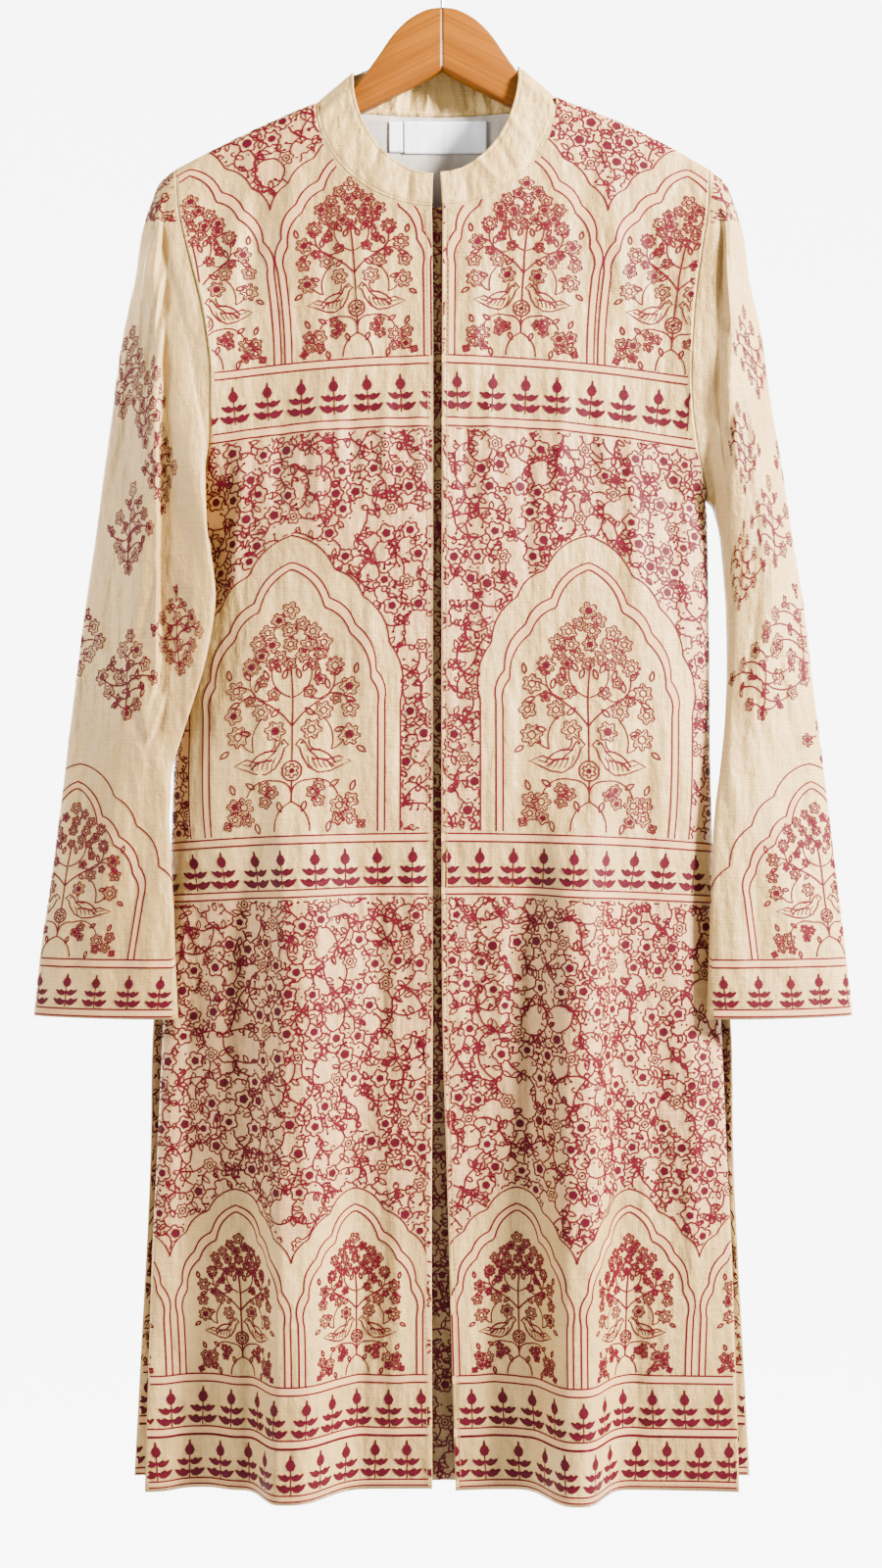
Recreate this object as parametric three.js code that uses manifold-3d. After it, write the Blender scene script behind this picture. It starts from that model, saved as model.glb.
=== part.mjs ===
// A long kurta with a band collar and side slits, hung on a two-piece wooden hanger.
// Millimetres. +X is the wearer's left, +Y runs from front to back, +Z is up.
// The origin is the inside top of the hanger's hook, where a rail carries it.
import * as THREE from "three";
import { mergeVertices } from "three/addons/utils/BufferGeometryUtils.js";
import Module from "manifold-3d";

const wasm = await Module();
wasm.setup();

// ---- Driving sizes ----

const SEAM_GAP = 0.3; // between two pieces that are sewn together
const CLOTH = 1.3; // wall of the printed silk with its turnings
const COLLAR_WALL = 1.6; // the band is two layers with an interlining
const LINING_WALL = 1.0;
const LABEL_WALL = 1.0;

const NECK = { x: -5, halfWidth: 95, frontZ: -225.3, backZ: -143 };
const SHOULDER = { x: 210, z: -189, neckX: 99, neckZ: -136, bowRight: 1.8, bowLeft: 4 };
const ARMPIT_Z = -452;
const ARMHOLE_ROUND = 132; // height over which the armhole's lower end closes
const SLIT_TOP_Z = -750;
const HEM_Z = -1226;
const HEM_DROOP = 3; // the side corners hang lower than the centre edge
const BACK_HEM_Z = -1225;

// Roundness of the cloth over the hanger, and how full the body hangs.
const OVER_HANGER = { radius: 8 };
const BELLY = { frontDrop: 110, backDrop: 100 };
const SIDE_ROUND = { power: 3.4, root: 2 };
const CHEST_SHIFT = { amount: 7, z: -360, spread: 95 }; // the chest hangs a little to the wearer's left

// Half widths of the body from the shoulder down: the armhole first, then the side seams.
// rightIn is how much nearer the centre line the wearer's right side hangs.
const WIDTHS = [
  { z: -189, front: 210, back: 210, rightIn: 0 },
  { z: -225, front: 207, back: 207, rightIn: 0 },
  { z: -260, front: 200, back: 200, rightIn: 0 },
  { z: -300, front: 192, back: 192, rightIn: 0 },
  { z: -345, front: 187, back: 187, rightIn: 0 },
  { z: -380, front: 188, back: 188, rightIn: 1 },
  { z: -415, front: 195, back: 195, rightIn: 8 },
  { z: -452, front: 206, back: 206, rightIn: 15 },
  { z: -550, front: 205, back: 205, rightIn: 9 },
  { z: -650, front: 206, back: 206, rightIn: 2 },
  { z: -750, front: 212, back: 212, rightIn: 0 },
  { z: -863, front: 220, back: 229, rightIn: 0 },
  { z: -970, front: 224, back: 232, rightIn: 0 },
  { z: -1035, front: 227, back: 235, rightIn: 0 },
  { z: -1120, front: 229.5, back: 240, rightIn: 0 },
  { z: -1226, front: 232.5, back: 246, rightIn: 0 },
];

// How far the middle of each side stands from the hanger's plane.
const FULLNESS = [
  { z: -189, front: 33, back: 27 },
  { z: -600, front: 33, back: 27 },
  { z: -860, front: 28, back: 23 },
  { z: -1120, front: 21, back: 19 },
  { z: -1226, front: 18, back: 18 },
];
const SLIT_OPENING = { share: 0.95, power: 1.1 }; // the slit's edges part as they go down

// Where each front's centre edge hangs: x from the centre line, to the panel's own side.
const CENTRE_EDGE = [
  { z: -137, right: 9, left: 1 },
  { z: -330, right: 7, left: 0 },
  { z: -830, right: 7, left: 0 },
  { z: -1005, right: 8, left: 4.5 },
  { z: -1226, right: 7.6, left: 10.6 },
];
const LAP = { lift: 4, spread: 25 }; // the wearer's left front stands over the under placket

// Hanging folds: crest position and height at the top and at the hem, and the reach of each flank.
const FRONT_FOLDS = [
  { side: -1, xTop: -112, xHem: -121, heightTop: 14, heightHem: 34, inner: 37, outer: 21.5 },
  { side: 1, xTop: 107, xHem: 104, heightTop: 15, heightHem: 38, inner: 26.6, outer: 24 },
  { side: -1, xTop: -188, xHem: -191, heightTop: 0, heightHem: -8, inner: 20, outer: 22 },
];
const BACK_FOLDS = [
  { side: -1, xTop: -96, xHem: -110, heightTop: 7, heightHem: 17, inner: 34, outer: 34 },
  { side: 1, xTop: 62, xHem: 70, heightTop: 8, heightHem: 19, inner: 34, outer: 32 },
  { side: 1, xTop: 150, xHem: 168, heightTop: 0, heightHem: 9, inner: 30, outer: 30 },
];
const FOLD_START = { z: -620, full: -800 };

// Sampling: columns across a front at its top edge and at its hem, as distances from the centre line.
const FRONT_COLUMNS = [
  { top: 9, hem: 9 },
  { top: 30.6, hem: 34 },
  { top: 51, hem: 58 },
  { top: 67.5, hem: 72 },
  { top: 80, hem: 84 },
  { top: 89, hem: 94 },
  { top: 94.7, hem: 104 },
  { top: 98, hem: 114 },
  { top: 99, hem: 124 },
  { top: 116, hem: 134 },
  { top: 133, hem: 144 },
  { top: 150, hem: 154 },
  { top: 166, hem: 168 },
  { top: 180, hem: 184 },
  { top: 193, hem: 202 },
  { top: 203, hem: 219 },
  { top: 210, hem: 232.5 },
];
const BACK_COLUMNS = [
  { top: 0, hem: 0 },
  { top: 33, hem: 27 },
  { top: 62, hem: 54 },
  { top: 85, hem: 80 },
  { top: 96, hem: 106 },
  { top: 99, hem: 132 },
  { top: 130, hem: 158 },
  { top: 160, hem: 184 },
  { top: 187, hem: 212 },
  { top: 202, hem: 232 },
  { top: 210, hem: 247 },
];
const COLUMN_CHANGE = { from: -300, to: -800 };
// Rows as shares of the way from the top edge to the armpit, shared by the armhole's two sides.
const ARM_SHARES = [0, 0.006, 0.02, 0.055, 0.12, 0.21, 0.32, 0.44, 0.56, 0.68, 0.79, 0.88, 0.95, 1];
const LOWER_ROWS = 15;

// Sleeves: the fold line on the outside of the arm (o) and the inner one (i), ring by ring.
// front and back are how far the cloth bulges from the line between them, and over is how far the
// front hangs over the armhole's seam.
const RIGHT_SLEEVE = [
  { ox: 210, oz: -189, ix: 189, iy: 0, iz: -452, front: 26, back: 22, over: 0 },
  { ox: 224, oz: -200, ix: 193, iy: -4, iz: -458, front: 24, back: 23, over: 4 },
  { ox: 230.5, oz: -214, ix: 189, iy: -15, iz: -465, front: 20, back: 23, over: 6 },
  { ox: 240, oz: -241, ix: 183, iy: -26, iz: -477, front: 17, back: 23, over: 5 },
  { ox: 245.6, oz: -278, ix: 179, iy: -33, iz: -492, front: 14, back: 23, over: 3 },
  { ox: 252.5, oz: -322, ix: 176.5, iy: -35, iz: -511, front: 12, back: 23, over: 1 },
  { ox: 259.3, oz: -370, ix: 175, iy: -35, iz: -532, front: 11, back: 23, over: 0 },
  { ox: 266.8, oz: -424, ix: 178, iy: -34, iz: -556, front: 11, back: 23, over: 0 },
  { ox: 273.8, oz: -478, ix: 184, iy: -32, iz: -583, front: 11, back: 23, over: 0 },
  { ox: 281.5, oz: -530, ix: 193, iy: -29, iz: -611, front: 11, back: 22, over: 0 },
  { ox: 287.5, oz: -577, ix: 202, iy: -27, iz: -638, front: 11, back: 22, over: 0 },
  { ox: 293, oz: -620, ix: 210, iy: -25, iz: -664, front: 11, back: 21, over: 0 },
  { ox: 298, oz: -662, ix: 213, iy: -24, iz: -694, front: 11, back: 20, over: 0 },
  { ox: 303.5, oz: -708, ix: 211, iy: -24, iz: -730, front: 11, back: 19, over: 0 },
  { ox: 309.8, oz: -755, ix: 209, iy: -24, iz: -768, front: 12, back: 18, over: 0 },
  { ox: 317.5, oz: -806, ix: 207.5, iy: -24, iz: -812, front: 13, back: 18, over: 0 },
  { ox: 323, oz: -858, ix: 205.5, iy: -24, iz: -858, front: 14, back: 18, over: 0 },
];
const LEFT_SLEEVE = [
  { ox: 210, oz: -189, ix: 206.3, iy: 0, iz: -452, front: 26, back: 22, over: 0 },
  { ox: 224, oz: -200, ix: 211, iy: -3, iz: -458, front: 26, back: 23, over: 0 },
  { ox: 230.5, oz: -214, ix: 214, iy: -6, iz: -468, front: 25, back: 23, over: 0 },
  { ox: 239.7, oz: -241, ix: 217, iy: -8, iz: -481, front: 24, back: 23, over: 0 },
  { ox: 245.4, oz: -278, ix: 219, iy: -9, iz: -496, front: 22, back: 23, over: 0 },
  { ox: 252.7, oz: -322, ix: 221, iy: -10, iz: -513, front: 20, back: 23, over: 0 },
  { ox: 259.5, oz: -370, ix: 222.5, iy: -11, iz: -533, front: 18, back: 23, over: 0 },
  { ox: 268.7, oz: -424, ix: 223, iy: -12, iz: -557, front: 17, back: 23, over: 0 },
  { ox: 277, oz: -478, ix: 223, iy: -14, iz: -584, front: 16, back: 22, over: 0 },
  { ox: 285.4, oz: -530, ix: 222, iy: -16, iz: -612, front: 15, back: 22, over: 0 },
  { ox: 291.2, oz: -577, ix: 220, iy: -18, iz: -639, front: 14, back: 22, over: 0 },
  { ox: 296.2, oz: -620, ix: 217, iy: -20, iz: -665, front: 13, back: 21, over: 0 },
  { ox: 301.7, oz: -662, ix: 213, iy: -22, iz: -694, front: 12, back: 20, over: 0 },
  { ox: 307.2, oz: -708, ix: 210.5, iy: -23, iz: -730, front: 12, back: 19, over: 0 },
  { ox: 312.9, oz: -755, ix: 209, iy: -24, iz: -768, front: 12, back: 18, over: 0 },
  { ox: 319.2, oz: -806, ix: 207.5, iy: -24, iz: -812, front: 13, back: 18, over: 0 },
  { ox: 324.6, oz: -858, ix: 206, iy: -24, iz: -858, front: 14, back: 18, over: 0 },
];
// The long crease down the front of each sleeve, where the outer half folds over the inner one.
const CREASE = { x: 221, column: 7, last: 0.9, step: 3.5, height: 8, reach: 26, from: -205, full: -260 };
const CREASE_END = { right: { fade: -560, to: -680 }, left: { fade: -400, to: -490 } };
const OVERHANG_RISE = 0.7; // how far the overhanging cloth rises for each millimetre it reaches over the body
const SLEEVE_CLEAR = { inner: 3, spread: 26 }; // the back of a sleeve stays outside the body's side

const COLLAR = { rise: 26, backRise: 40, sideRise: 24, draw: 0.3, frontLean: 0.24, backLean: 0.14, leanFrom: 9 };
const COLLAR_ROWS = [0, 0.35, 0.7, 1];

// It is sewn behind the edge of the wearer's right front and hangs clear of the left one.
const UNDER_PLACKET = { halfWidth: 28, belowNeck: 0.8, bottomZ: -1222, sewn: 1.7, recess: 2.4, hemRecess: 6, rows: 22 };
const LINING = { halfWidth: 150, bottomZ: -330, recess: 0.6, belowShoulder: 16, columns: 14 };
const LINING_ROWS = [0, 0.07, 0.14, 0.24, 0.4, 0.65, 1];
const LABEL_ROWS = [0, 0.5, 1];
const LABEL = { left: -31, right: 36, top: -147, bottom: -172, gap: 0.7 };
const SIZE_TAB = { left: -42.5, right: -31.4, top: -147.5, bottom: -171, gap: 0.7 };

const HANGER = { halfThickness: 5.5, clearance: 2.4, tipX: 203, tipRound: 9, centreGap: 0.15 };
const HANGER_OUTLINE = [
  { x: 0, top: -61.6, bottom: -111 },
  { x: 12, top: -63.5, bottom: -117.5 },
  { x: 26, top: -71, bottom: -125 },
  { x: 38.5, top: -83, bottom: -131.5 },
  { x: 49, top: -98, bottom: -137 },
  { x: 62, top: -116, bottom: -143.5 },
  { x: 75, top: -130, bottom: -149.5 },
  { x: 88, top: -140, bottom: -155.5 },
  { x: 102, top: -145.5, bottom: -162.5 },
  { x: 117, top: -150, bottom: -170 },
];
const HANGER_ARM = { depthAtNeck: 21, depthAtTip: 16 };
const HOOK = { wire: 1.7, radius: 20.5, stemBottom: -86, stemTop: -50, bore: 2.05, endAngle: 208 };

// ---- Helpers ----

const clamp01 = (t) => Math.min(1, Math.max(0, t));
const mix = (a, b, t) => a + (b - a) * t;
const ease = (t) => clamp01(t) ** 2 * (3 - 2 * clamp01(t));
const vec = (x, y, z) => new THREE.Vector3(x, y, z);

// A smooth curve through a table's rows, which run down in z.
function along(rows, z, column) {
  const last = rows.length - 1;
  if (z >= rows[0].z) return rows[0][column];
  if (z <= rows[last].z) return rows[last][column];
  let i = 0;
  while (rows[i + 1].z > z) i += 1;
  const slope = (k) => {
    const a = rows[Math.max(0, k - 1)];
    const b = rows[Math.min(last, k + 1)];
    return (b[column] - a[column]) / (b.z - a.z);
  };
  const span = rows[i + 1].z - rows[i].z;
  const t = (z - rows[i].z) / span;
  return (
    rows[i][column] * (1 + 2 * t) * (1 - t) ** 2 +
    rows[i + 1][column] * t * t * (3 - 2 * t) +
    slope(i) * span * t * (1 - t) ** 2 +
    slope(i + 1) * span * t * t * (t - 1)
  );
}

function volumeOf(points, faces) {
  let sum = 0;
  for (const [a, b, c] of faces) {
    sum += points[a].dot(vec(0, 0, 0).crossVectors(points[b], points[c]));
  }
  return sum / 6;
}

// One closed body from points and triangles, with its faces turned out.
function closedBody(points, faces) {
  const outward = volumeOf(points, faces) > 0;
  const geometry = new THREE.BufferGeometry();
  const order = faces.flatMap(([a, b, c]) => (outward ? [a, b, c] : [a, c, b]));
  geometry.setAttribute("position", new THREE.Float32BufferAttribute(points.flatMap((p) => p.toArray()), 3));
  geometry.setIndex(order);
  return geometry.toNonIndexed();
}

// A wall of cloth: the outer face is a grid of points, and the inner one lies `wall` further in.
function shell(outer, inward, wall, wrapped = false) {
  const rows = outer.length;
  const columns = outer[0].length;
  const size = rows * columns;
  const points = outer.flat().map((p) => p.clone());
  outer.flat().forEach((p, k) => points.push(p.clone().addScaledVector(inward.flat()[k], wall)));
  const faces = [];
  const quad = (a, b, c, d) => faces.push([a, b, c], [a, c, d]);
  const at = (i, j) => i * columns + (j % columns);
  const lastColumn = wrapped ? columns : columns - 1;
  for (let i = 0; i < rows - 1; i += 1) {
    for (let j = 0; j < lastColumn; j += 1) {
      quad(at(i, j), at(i + 1, j), at(i + 1, j + 1), at(i, j + 1));
      quad(size + at(i, j), size + at(i, j + 1), size + at(i + 1, j + 1), size + at(i + 1, j));
    }
  }
  for (let j = 0; j < lastColumn; j += 1) {
    quad(at(0, j), at(0, j + 1), size + at(0, j + 1), size + at(0, j));
    quad(at(rows - 1, j), size + at(rows - 1, j), size + at(rows - 1, j + 1), at(rows - 1, j + 1));
  }
  for (let i = 0; i < rows - 1 && !wrapped; i += 1) {
    quad(at(i, 0), size + at(i, 0), size + at(i + 1, 0), at(i + 1, 0));
    quad(at(i, columns - 1), at(i + 1, columns - 1), size + at(i + 1, columns - 1), size + at(i, columns - 1));
  }
  return closedBody(points, faces);
}

// Unit vectors square to a grid of points, turned to the side that `towards` names for each point.
function squareTo(grid, towards, wrapped = false) {
  const rows = grid.length;
  const columns = grid[0].length;
  return grid.map((row, i) =>
    row.map((p, j) => {
      const before = wrapped ? (j + columns - 1) % columns : Math.max(0, j - 1);
      const after = wrapped ? (j + 1) % columns : Math.min(columns - 1, j + 1);
      const across = row[after].clone().sub(row[before]);
      const down = grid[Math.min(rows - 1, i + 1)][j].clone().sub(grid[Math.max(0, i - 1)][j]);
      const n = across.cross(down).normalize();
      return n.dot(towards(p, i, j)) < 0 ? n.negate() : n;
    }),
  );
}

function piece(name, geometry, material) {
  const mesh = new THREE.Mesh(geometry, material);
  mesh.name = name;
  return mesh;
}

// ---- The body's form ----

function shoulderLine(x) {
  const out = (Math.abs(x) - SHOULDER.neckX) / (SHOULDER.x - SHOULDER.neckX);
  const bow = x < 0 ? SHOULDER.bowRight : SHOULDER.bowLeft;
  return mix(SHOULDER.neckZ, SHOULDER.z, out) + bow * 4 * clamp01(out) * (1 - clamp01(out));
}

const inNeck = (x) => Math.abs(x - NECK.x) < NECK.halfWidth - 1e-6;

// The neck's edge: half an ellipse hung between the two neck points.
function neckLine(x, lowZ) {
  const across = clamp01(Math.abs(x - NECK.x) / NECK.halfWidth) * Math.sign(x - NECK.x);
  const ends = mix(shoulderLine(NECK.x - NECK.halfWidth), shoulderLine(NECK.x + NECK.halfWidth), (across + 1) / 2);
  return ends - (ends - lowZ) * Math.sqrt(1 - across ** 2);
}

const topEdge = (x, lowZ) => (inNeck(x) ? neckLine(x, lowZ) : shoulderLine(x));

const chestShift = (z) => CHEST_SHIFT.amount * Math.exp(-(((z - CHEST_SHIFT.z) / CHEST_SHIFT.spread) ** 2));

// How much of the fullness is left at the side edge: all of it round the armhole, none at the side seam.
function edgeShare(z) {
  if (z >= ARMPIT_Z) {
    const s = clamp01((z - ARMPIT_Z) / ARMHOLE_ROUND);
    return Math.sqrt(s * (2 - s));
  }
  return SLIT_OPENING.share * clamp01((SLIT_TOP_Z - z) / (SLIT_TOP_Z - HEM_Z)) ** SLIT_OPENING.power;
}

function foldHeight(folds, x, z) {
  const begun = ease((FOLD_START.z - z) / (FOLD_START.z - FOLD_START.full));
  const down = clamp01((FOLD_START.z - z) / (FOLD_START.z - HEM_Z));
  return folds.reduce((sum, f) => {
    const away = (x - mix(f.xTop, f.xHem, down)) * f.side;
    const reach = away < 0 ? f.inner : f.outer;
    return sum + begun * mix(f.heightTop, f.heightHem, down) * Math.exp(-(Math.abs(away / reach) ** 3));
  }, 0);
}

// Distance of the cloth's outer face from the hanger's plane. share is 0 at the centre and 1 at the side edge.
function depth(face, x, z, share) {
  const drop = Math.max(0, shoulderLine(x) - z);
  const turned = Math.max(0, OVER_HANGER.radius - drop);
  const over = Math.sqrt(OVER_HANGER.radius ** 2 - turned ** 2);
  const belly = (along(FULLNESS, z, face) - OVER_HANGER.radius) * (1 - Math.exp(-drop / BELLY[face + "Drop"]));
  const side = (1 - clamp01(share) ** SIDE_ROUND.power) ** (1 / SIDE_ROUND.root);
  const edge = edgeShare(z) * share ** (z > ARMPIT_Z ? 4 : 1);
  const fold = foldHeight(face === "front" ? FRONT_FOLDS : BACK_FOLDS, x, z);
  return SEAM_GAP / 2 + (over + belly) * (edge + (1 - edge) * side) + fold * ease((1 - share) / 0.12);
}

const halfWidth = (face, z, side = 1) => along(WIDTHS, z, face) - (side < 0 ? along(WIDTHS, z, "rightIn") : 0);

// The body's outer face in one place: y at x and z. lift is how far the panel stands off on its own.
function bodyY(face, x, z, lift) {
  const share = Math.abs(x) / (halfWidth(face, z, Math.sign(x)) + Math.sign(x) * chestShift(z));
  const out = depth(face, x, z, share) + lift(x, z);
  return face === "front" ? -out : out;
}

// The direction into the cloth, square to the outer face.
function bodyInward(face, x, z, lift) {
  const step = 0.3;
  const acrossX = (bodyY(face, x + step, z, lift) - bodyY(face, x - step, z, lift)) / (2 * step);
  const acrossZ = (bodyY(face, x, z + step, lift) - bodyY(face, x, z - step, lift)) / (2 * step);
  const into = vec(-acrossX, 1, -acrossZ).normalize();
  return face === "front" ? into : into.negate();
}

const noLift = () => 0;

// A panel's outer face and the direction of its wall, from the places of its columns and rows.
function bodyPanel(face, places, lift = noLift) {
  return {
    grid: places.map((row) => row.map(({ x, z }) => vec(x, bodyY(face, x, z, lift), z))),
    inward: places.map((row) => row.map(({ x, z }) => bodyInward(face, x, z, lift))),
  };
}

// Rows and columns of one side of a panel, as places on the flat of the hanger's plane.
function sidePlaces(face, side, shares, lowZ, hemZ) {
  const heights = shares.map((share) => rowHeights(columnTop(face, side, share, lowZ), hemZ));
  return heights[0].map((_, i) =>
    shares.map((share, j) => {
      const z = heights[j][i] - HEM_DROOP * share(HEM_Z) ** 2 * ease((SLIT_TOP_Z - heights[j][i]) / (SLIT_TOP_Z - HEM_Z));
      return { x: (side * halfWidth(face, z, side) + chestShift(z)) * share(z), z };
    }),
  );
}

// The height of a column's top end, found by stepping to where the column meets the top edge.
function columnTop(face, side, shareAt, lowZ) {
  let z = SHOULDER.neckZ;
  for (let k = 0; k < 40; k += 1) {
    z = mix(z, topEdge((side * halfWidth(face, z, side) + chestShift(z)) * shareAt(z), lowZ), 0.6);
  }
  return z;
}

// Shares of the half width for each column, at any height. A column's top is given for a neck point
// 99 mm from the centre line, and moves with the side's own neck point.
function columnShares(columns, face, side, edgeX) {
  const change = (z) => ease((COLUMN_CHANGE.from - z) / (COLUMN_CHANGE.from - COLUMN_CHANGE.to));
  const neckPoint = NECK.halfWidth + side * NECK.x;
  const topX = (top) =>
    top <= SHOULDER.neckX
      ? (top / SHOULDER.neckX) * neckPoint
      : mix(neckPoint, SHOULDER.x, (top - SHOULDER.neckX) / (SHOULDER.x - SHOULDER.neckX));
  const lastHem = columns[columns.length - 1].hem;
  return columns.map((column, j) => (z) => {
    if (j === 0 && edgeX) return edgeX(z) / halfWidth(face, z, side);
    return mix(topX(column.top) / SHOULDER.x, column.hem / lastHem, change(z));
  });
}

function rowHeights(topZ, hemZ) {
  const upper = ARM_SHARES.map((t) => mix(topZ, ARMPIT_Z, t));
  const lower = Array.from({ length: LOWER_ROWS }, (_, k) => mix(ARMPIT_Z, hemZ, (k + 1) / LOWER_ROWS));
  return [...upper, ...lower];
}

// Turns the wall's thickness along the seam at each sewn edge, so that the next piece has room.
function seamDirections(grid, inward, side, edgeColumn) {
  grid[0].forEach((p, j) => {
    if (Math.abs(p.x - NECK.x) >= NECK.halfWidth - 0.2) inward[0][j] = vec(0, 0, -1);
  });
  grid.forEach((row, i) => {
    const p = row[edgeColumn];
    if (i === 0) return;
    const open = clamp01((Math.abs(p.y) - SEAM_GAP / 2) / 8);
    inward[i][edgeColumn] = vec(-side * (1 - open), -Math.sign(p.y) * open, 0).normalize();
  });
}

function frontPanel(side) {
  const name = side < 0 ? "right" : "left";
  const edgeX = (z) => along(CENTRE_EDGE, z, name);
  const lift = side < 0 ? noLift : (x, z) => LAP.lift * Math.exp(-Math.max(0, x - edgeX(z)) / LAP.spread);
  const shares = columnShares(FRONT_COLUMNS, "front", side, edgeX);
  const { grid, inward } = bodyPanel("front", sidePlaces("front", side, shares, NECK.frontZ, HEM_Z), lift);
  seamDirections(grid, inward, side, FRONT_COLUMNS.length - 1);
  return { grid, inward };
}

function backPanel() {
  const half = (side) => sidePlaces("back", side, columnShares(BACK_COLUMNS, "back", side), NECK.backZ, BACK_HEM_Z);
  const right = half(-1);
  const left = half(1);
  const places = right.map((row, i) => [...row.slice(1).reverse(), ...left[i]]);
  const { grid, inward } = bodyPanel("back", places);
  seamDirections(grid, inward, -1, 0);
  seamDirections(grid, inward, 1, grid[0].length - 1);
  return { grid, inward };
}

// ---- Sleeves ----

// Where the crease lies between a ring's outer fold (0) and inner fold (1).
const creaseAt = (ring) => Math.min(CREASE.last, (ring.ox - CREASE.x) / (ring.ox - ring.ix));

function creaseStrength(side, z) {
  const end = side < 0 ? CREASE_END.right : CREASE_END.left;
  return ease((CREASE.from - z) / (CREASE.from - CREASE.full)) * (1 - ease((end.fade - z) / (end.fade - end.to)));
}

// Shares across ring k from the outer fold to the inner one. They leave the armhole's rows for even
// steps, and the front's gather on the crease.
function ringShares(table, side, k, face) {
  const last = ARM_SHARES.length - 1;
  const even = ARM_SHARES.map((t, j) => mix(t, j / last, ease(k / 4)));
  if (face === "back") return even;
  const c = creaseAt(table[k]);
  const gather = ease((k - 1) / 2) * creaseStrength(side, mix(table[k].oz, table[k].iz, c));
  return even.map((t, j) => {
    const inner = c + CREASE.step / 85;
    const onCrease = j <= CREASE.column ? (c * j) / CREASE.column : mix(inner, 1, (j - CREASE.column - 1) / (last - CREASE.column - 1));
    return mix(t, onCrease, gather);
  });
}

// The height of the crease over the sleeve's own roundness: full at the crease, gone just inside it.
function creaseHeight(side, x, z) {
  const away = x - CREASE.x;
  const shape = away >= -0.01 ? Math.exp(-((away / CREASE.reach) ** 2)) : 1 - ease(-away / CREASE.step);
  return CREASE.height * creaseStrength(side, z) * shape;
}

// A point of a sleeve ring. t runs from the outer fold line to the inner one.
function sleevePoint(table, side, k, t, face) {
  const ring = table[k];
  const z = mix(ring.oz, ring.iz, t);
  if (k === 0) {
    const seam = depth(face, side * SHOULDER.x, z, 1);
    return vec(side * (halfWidth(face, z, side) + SEAM_GAP) + chestShift(z), face === "front" ? -seam : seam, z);
  }
  const straight = mix(ring.ox, ring.ix, t);
  const bow = (halfWidth("front", z, side) - mix(SHOULDER.x, halfWidth("front", ARMPIT_Z, side), t)) * Math.max(0, 1 - k / 5);
  const shift = side * chestShift(z) * Math.max(0, 1 - k / 4);
  const over = ring.over * ease((t - 0.55) / 0.25) * ease((1.02 - t) / 0.14);
  const x = straight + bow + shift - (face === "front" ? over : 0);
  const base = ring.iy * t ** 1.3;
  if (face === "front") {
    const round = Math.sin(Math.PI * t) ** 0.55;
    return vec(side * x, base - ring.front * round - creaseHeight(side, x, z) - over * OVERHANG_RISE, z);
  }
  const under = mix(ease((ARMPIT_Z - 6 - z) / 26), 1, ease((k - 4) / 3)); // the back passes to the front below the armpit
  const bodySide = halfWidth("back", z, side) + SLEEVE_CLEAR.inner;
  const outside = mix(Math.max(x, bodySide + side * chestShift(z)), x, under);
  const clear = mix(1, ease((x - bodySide) / SLEEVE_CLEAR.spread), ease(k / 4));
  return vec(side * outside, base * under + ring.back * Math.sin(Math.PI * t) ** 0.7 * clear, z);
}

function sleeve(table, side) {
  const grid = table.map((_, k) => [
    ...ringShares(table, side, k, "front").map((t) => sleevePoint(table, side, k, t, "front")),
    ...ringShares(table, side, k, "back").slice(1, -1).reverse().map((t) => sleevePoint(table, side, k, t, "back")),
  ]);
  const centres = grid.map((row) => row.reduce((s, p) => s.add(p), vec(0, 0, 0)).divideScalar(row.length));
  const inward = squareTo(grid, (p, i) => centres[i].clone().sub(p), true);
  const inner = ARM_SHARES.length - 1;
  grid[0].forEach((p, j) => {
    const t = j <= inner ? ARM_SHARES[j] : ARM_SHARES[2 * inner - j];
    const out = ease((t - 0.6) / 0.4);
    const up = ease((0.03 - t) / 0.03);
    inward[0][j] = vec(side * out, -Math.sign(p.y) * (1 - out) * (1 - up), -up).normalize();
  });
  return { grid, inward };
}

// ---- Collar, under placket, lining and labels ----

// The neck edge from the right front's centre edge round the back to the left front's, and the
// direction of each panel's wall there.
function neckEdge(frontRight, back, frontLeft) {
  const edge = ({ grid, inward }) =>
    grid[0]
      .map((at, j) => ({ at, wall: inward[0][j] }))
      .filter(({ at }) => Math.abs(at.x - NECK.x) < NECK.halfWidth - 0.3);
  const neckPoint = (side) => {
    const x = NECK.x + side * NECK.halfWidth;
    return { at: vec(x, 0, shoulderLine(x)), wall: vec(0, 0, -1) };
  };
  return [...edge(frontRight), neckPoint(-1), ...edge(back), neckPoint(1), ...edge(frontLeft).reverse()];
}

function collar(edge) {
  const grid = COLLAR_ROWS.map((share) =>
    edge.map(({ at }) => {
      const away = at.x - NECK.x;
      const rise = mix(at.y < 0 ? COLLAR.rise : COLLAR.backRise, COLLAR.sideRise, (away / NECK.halfWidth) ** 4);
      const lean = (at.y < 0 ? COLLAR.frontLean : COLLAR.backLean) * share * Math.max(0, Math.abs(at.y) - COLLAR.leanFrom);
      const stand = vec(-COLLAR.draw * away, 0, rise);
      const top = at.clone().addScaledVector(stand, share).addScaledVector(stand.normalize(), SEAM_GAP * 1.2);
      return top.setY(top.y - Math.sign(at.y) * lean);
    }),
  );
  const axis = vec(NECK.x, 0, -150);
  const inward = squareTo(grid, (p) => axis.clone().sub(p));
  inward[0] = edge.map(({ wall }) => wall.clone());
  return shell(grid, inward, COLLAR_WALL);
}

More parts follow.
